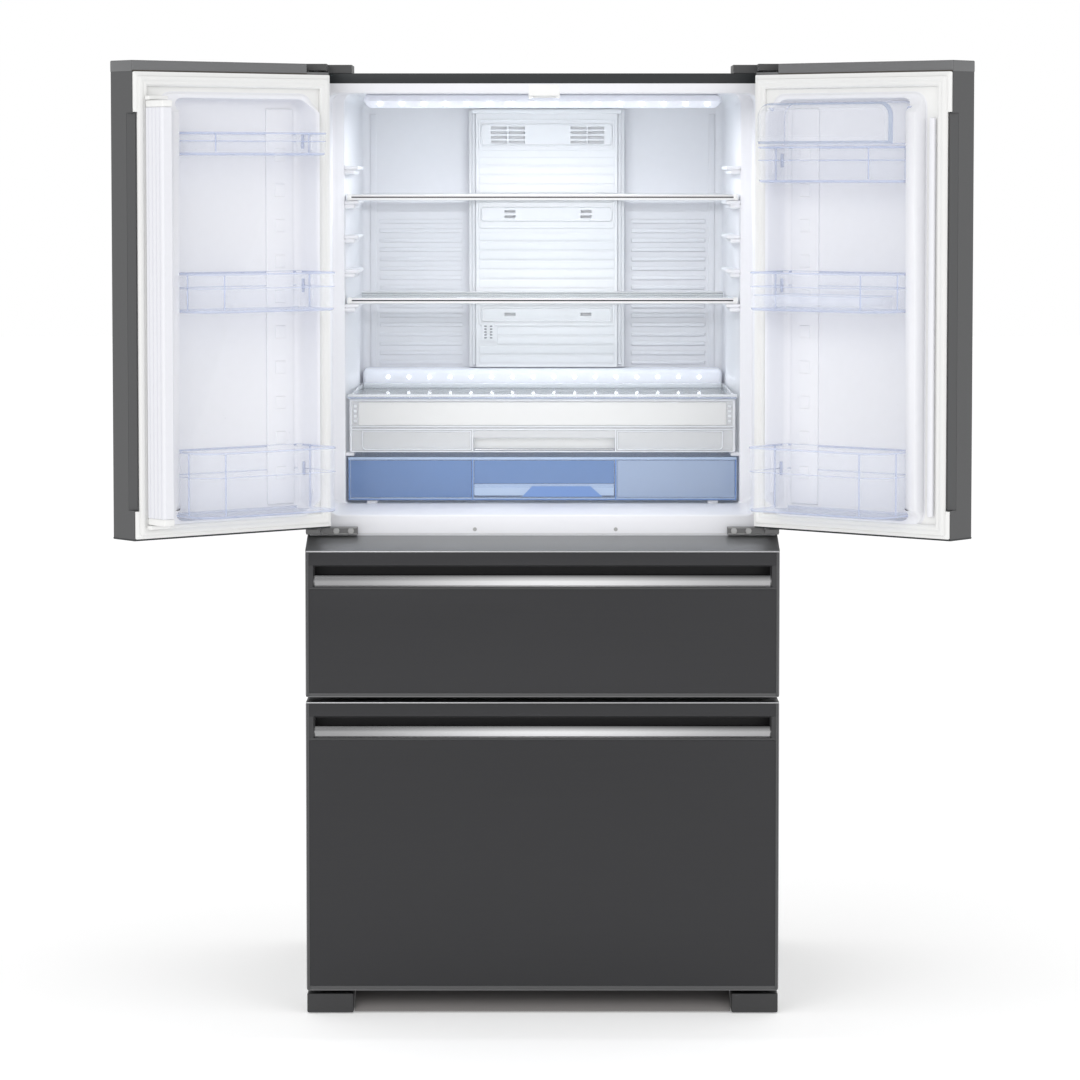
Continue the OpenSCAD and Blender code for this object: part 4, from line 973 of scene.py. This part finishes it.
def pull_strip(name):
    """Curved bright strip along the bottom of a handle recess, its colour carrying a painted reflection and
    painted shade.
    """
    lo, hi = mm(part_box(f"{name}_drawer_handle"))
    middle = (lo.z + hi.z) / 2

    def arc(centre_y, r, degrees):
        angles = [math.radians(a) for a in degrees]
        return [(lo.y + centre_y - r * math.cos(a), middle + r * math.sin(a)) for a in angles]

    front, back = arc(24, 23.5, range(-24, 26, 3)), arc(26, 22.2, range(22, -20, -3))
    points = [(lo.y + 2.6, lo.z), *front, (lo.y + 4.3, hi.z), *back, (hi.y, lo.z + 3), (hi.y, lo.z)]
    shape = Shape().prism(points, "x", (lo.x, hi.x))
    shape.make(f"{name}_pull_strip", f"{name}_drawer", "bright_metal", [pull_silver_painted_reflection],
               replaces=[f"{name}_drawer_handle"], angle=25)


def bin_rim(name, body, ribs):
    """Thicker rim and stiffening ribs of a drawer bin or of the tray."""
    lo, hi = mm(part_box(name))
    low, high = hi.z - 6, hi.z + 0.4
    rim = ((-1.5, low), (-1.5, high), (3, high), (3, low))
    shape = Shape().loft([at_z(outline(lo, hi, 1, inset), z) for inset, z in rim], closed=True)
    for k in range(1, ribs + 1):
        x = lo.x + (hi.x - lo.x) * k / (ribs + 1)
        shape.box((x - 1.5, lo.y - 1, lo.z + 12), (x + 1.5, lo.y + 1, hi.z - 8), 0.6)
    shape.make(f"{name}_rim", body, "clear_plastic", [clear_edge])


def build():
    dress_frame()
    compartment_liner()
    ledges_and_runners()
    back_wall_ribs()
    duct_details()
    cabinet_trim()
    lights()
    flap_guide()
    shelf_details()
    under_pan()
    rear_details()
    chilled_case_details()
    cooling_case_details()
    for side in ("left", "right"):
        door_liner(side)
        door_gasket(side)
        door_caps(side)
        for name in ("upper", "middle", "lower"):
            rack(side, name)
    mullion_flap()
    egg_tray()
    rack_cover()
    drawer_dress("upper", upper_lo, upper_hi, UPPER_PANEL, UPPER_RECESS, cap=True)
    drawer_dress("lower", lower_lo, lower_hi, LOWER_PANEL, LOWER_RECESS, cap=False)
    pull_strip("upper")
    pull_strip("lower")
    bin_rim("upper_drawer_bin", "upper_drawer", 6)
    bin_rim("lower_drawer_bin", "lower_drawer", 6)
    bin_rim("freezer_tray", "freezer_tray", 4)


# == Floor, lights and camera ==

GLOW = (0.95, 0.97, 1)  # colour of the refrigerator's own lights


def area_light(name, place, target, size, power, color=(1, 1, 1), mirrored=True, spread=180):
    """A rectangular lamp; mirrored says whether it shows in glossy surfaces."""
    data = bpy.data.lights.new(name, "AREA")
    data.shape = "RECTANGLE"
    data.size, data.size_y = metres(size)
    data.energy = power
    data.color = color
    data.spread = math.radians(spread)
    lamp = add_object(name, data)
    lamp.location = metres(place)
    lamp.visible_glossy = mirrored
    aim = Vector(metres(target)) - Vector(metres(place))
    lamp.rotation_euler = aim.to_track_quat("-Z", "Y").to_euler()


def studio():
    mesh = bpy.data.meshes.new("floor")
    reach = 30
    mesh.from_pydata([(-reach, -reach, 0), (reach, -reach, 0), (reach, reach, 0), (-reach, reach, 0)], [],
                     [(0, 1, 2, 3)])
    mesh.materials.append(surface("floor_white", (0.93,) * 3, 0.8, 0.0, 2, 0.0, 0.005, emission=0.30))
    floor = add_object("floor", mesh)
    world = bpy.data.worlds.new("studio")
    world.use_nodes = True
    tree = world.node_tree
    background = tree.nodes["Background"]
    background.inputs["Color"].default_value = (1, 1, 1, 1)
    sight = add_node(tree, "LightPath")
    strength = add_node(tree, "MapRange", To_Min=0.82, To_Max=1.0)
    tree.links.new(sight.outputs["Is Camera Ray"], strength.inputs["Value"])
    tree.links.new(strength.outputs["Result"], background.inputs["Strength"])
    bpy.context.scene.world = world
    area_light("key", (-2200, -4600, 3400), (0, 0, 900), (3000, 2000), 45)
    area_light("fill", (3000, -4200, 2000), (0, 0, 800), (2400, 2400), 20)
    area_light("ceiling_glow", (0, depth(197), CEILING - 34), (0, depth(300), 1000), (420, 30), 1.9, GLOW,
               mirrored=False)
    area_light("rear_glow", (0, BACK_Y - 74, 1112), (0, depth(300), 1250), (600, 20), 0.4, GLOW,
               mirrored=False)
    area_light("opening_fill", (0, depth(-3000), 2300), (0, depth(150), 1150), (500, 400), 0.38,
               mirrored=False, spread=20)
    bpy.context.scene.view_settings.view_transform = "Standard"
    bpy.context.scene.cycles.transparent_max_bounces = 40


CAMERA_BACK, CAMERA_UP = 7124, 1493.5  # from the drawers' front plane, and from the floor
LENS, TILT, SHIFT = 134.65, 3.639, (-0.0023, -0.1)


def camera():
    """A long lens in front of the doors, tilted down a little and shifted to frame the whole object."""
    data = bpy.data.cameras.new("camera")
    data.lens = LENS
    data.sensor_width = 36
    data.shift_x, data.shift_y = SHIFT
    data.clip_end = 100
    eye = add_object("camera", data)
    eye.location = metres((0, DRAWER_Y - CAMERA_BACK, CAMERA_UP))
    eye.rotation_euler = (math.radians(90 - TILT), 0, 0)
    bpy.context.scene.camera = eye


build()
studio()
camera()
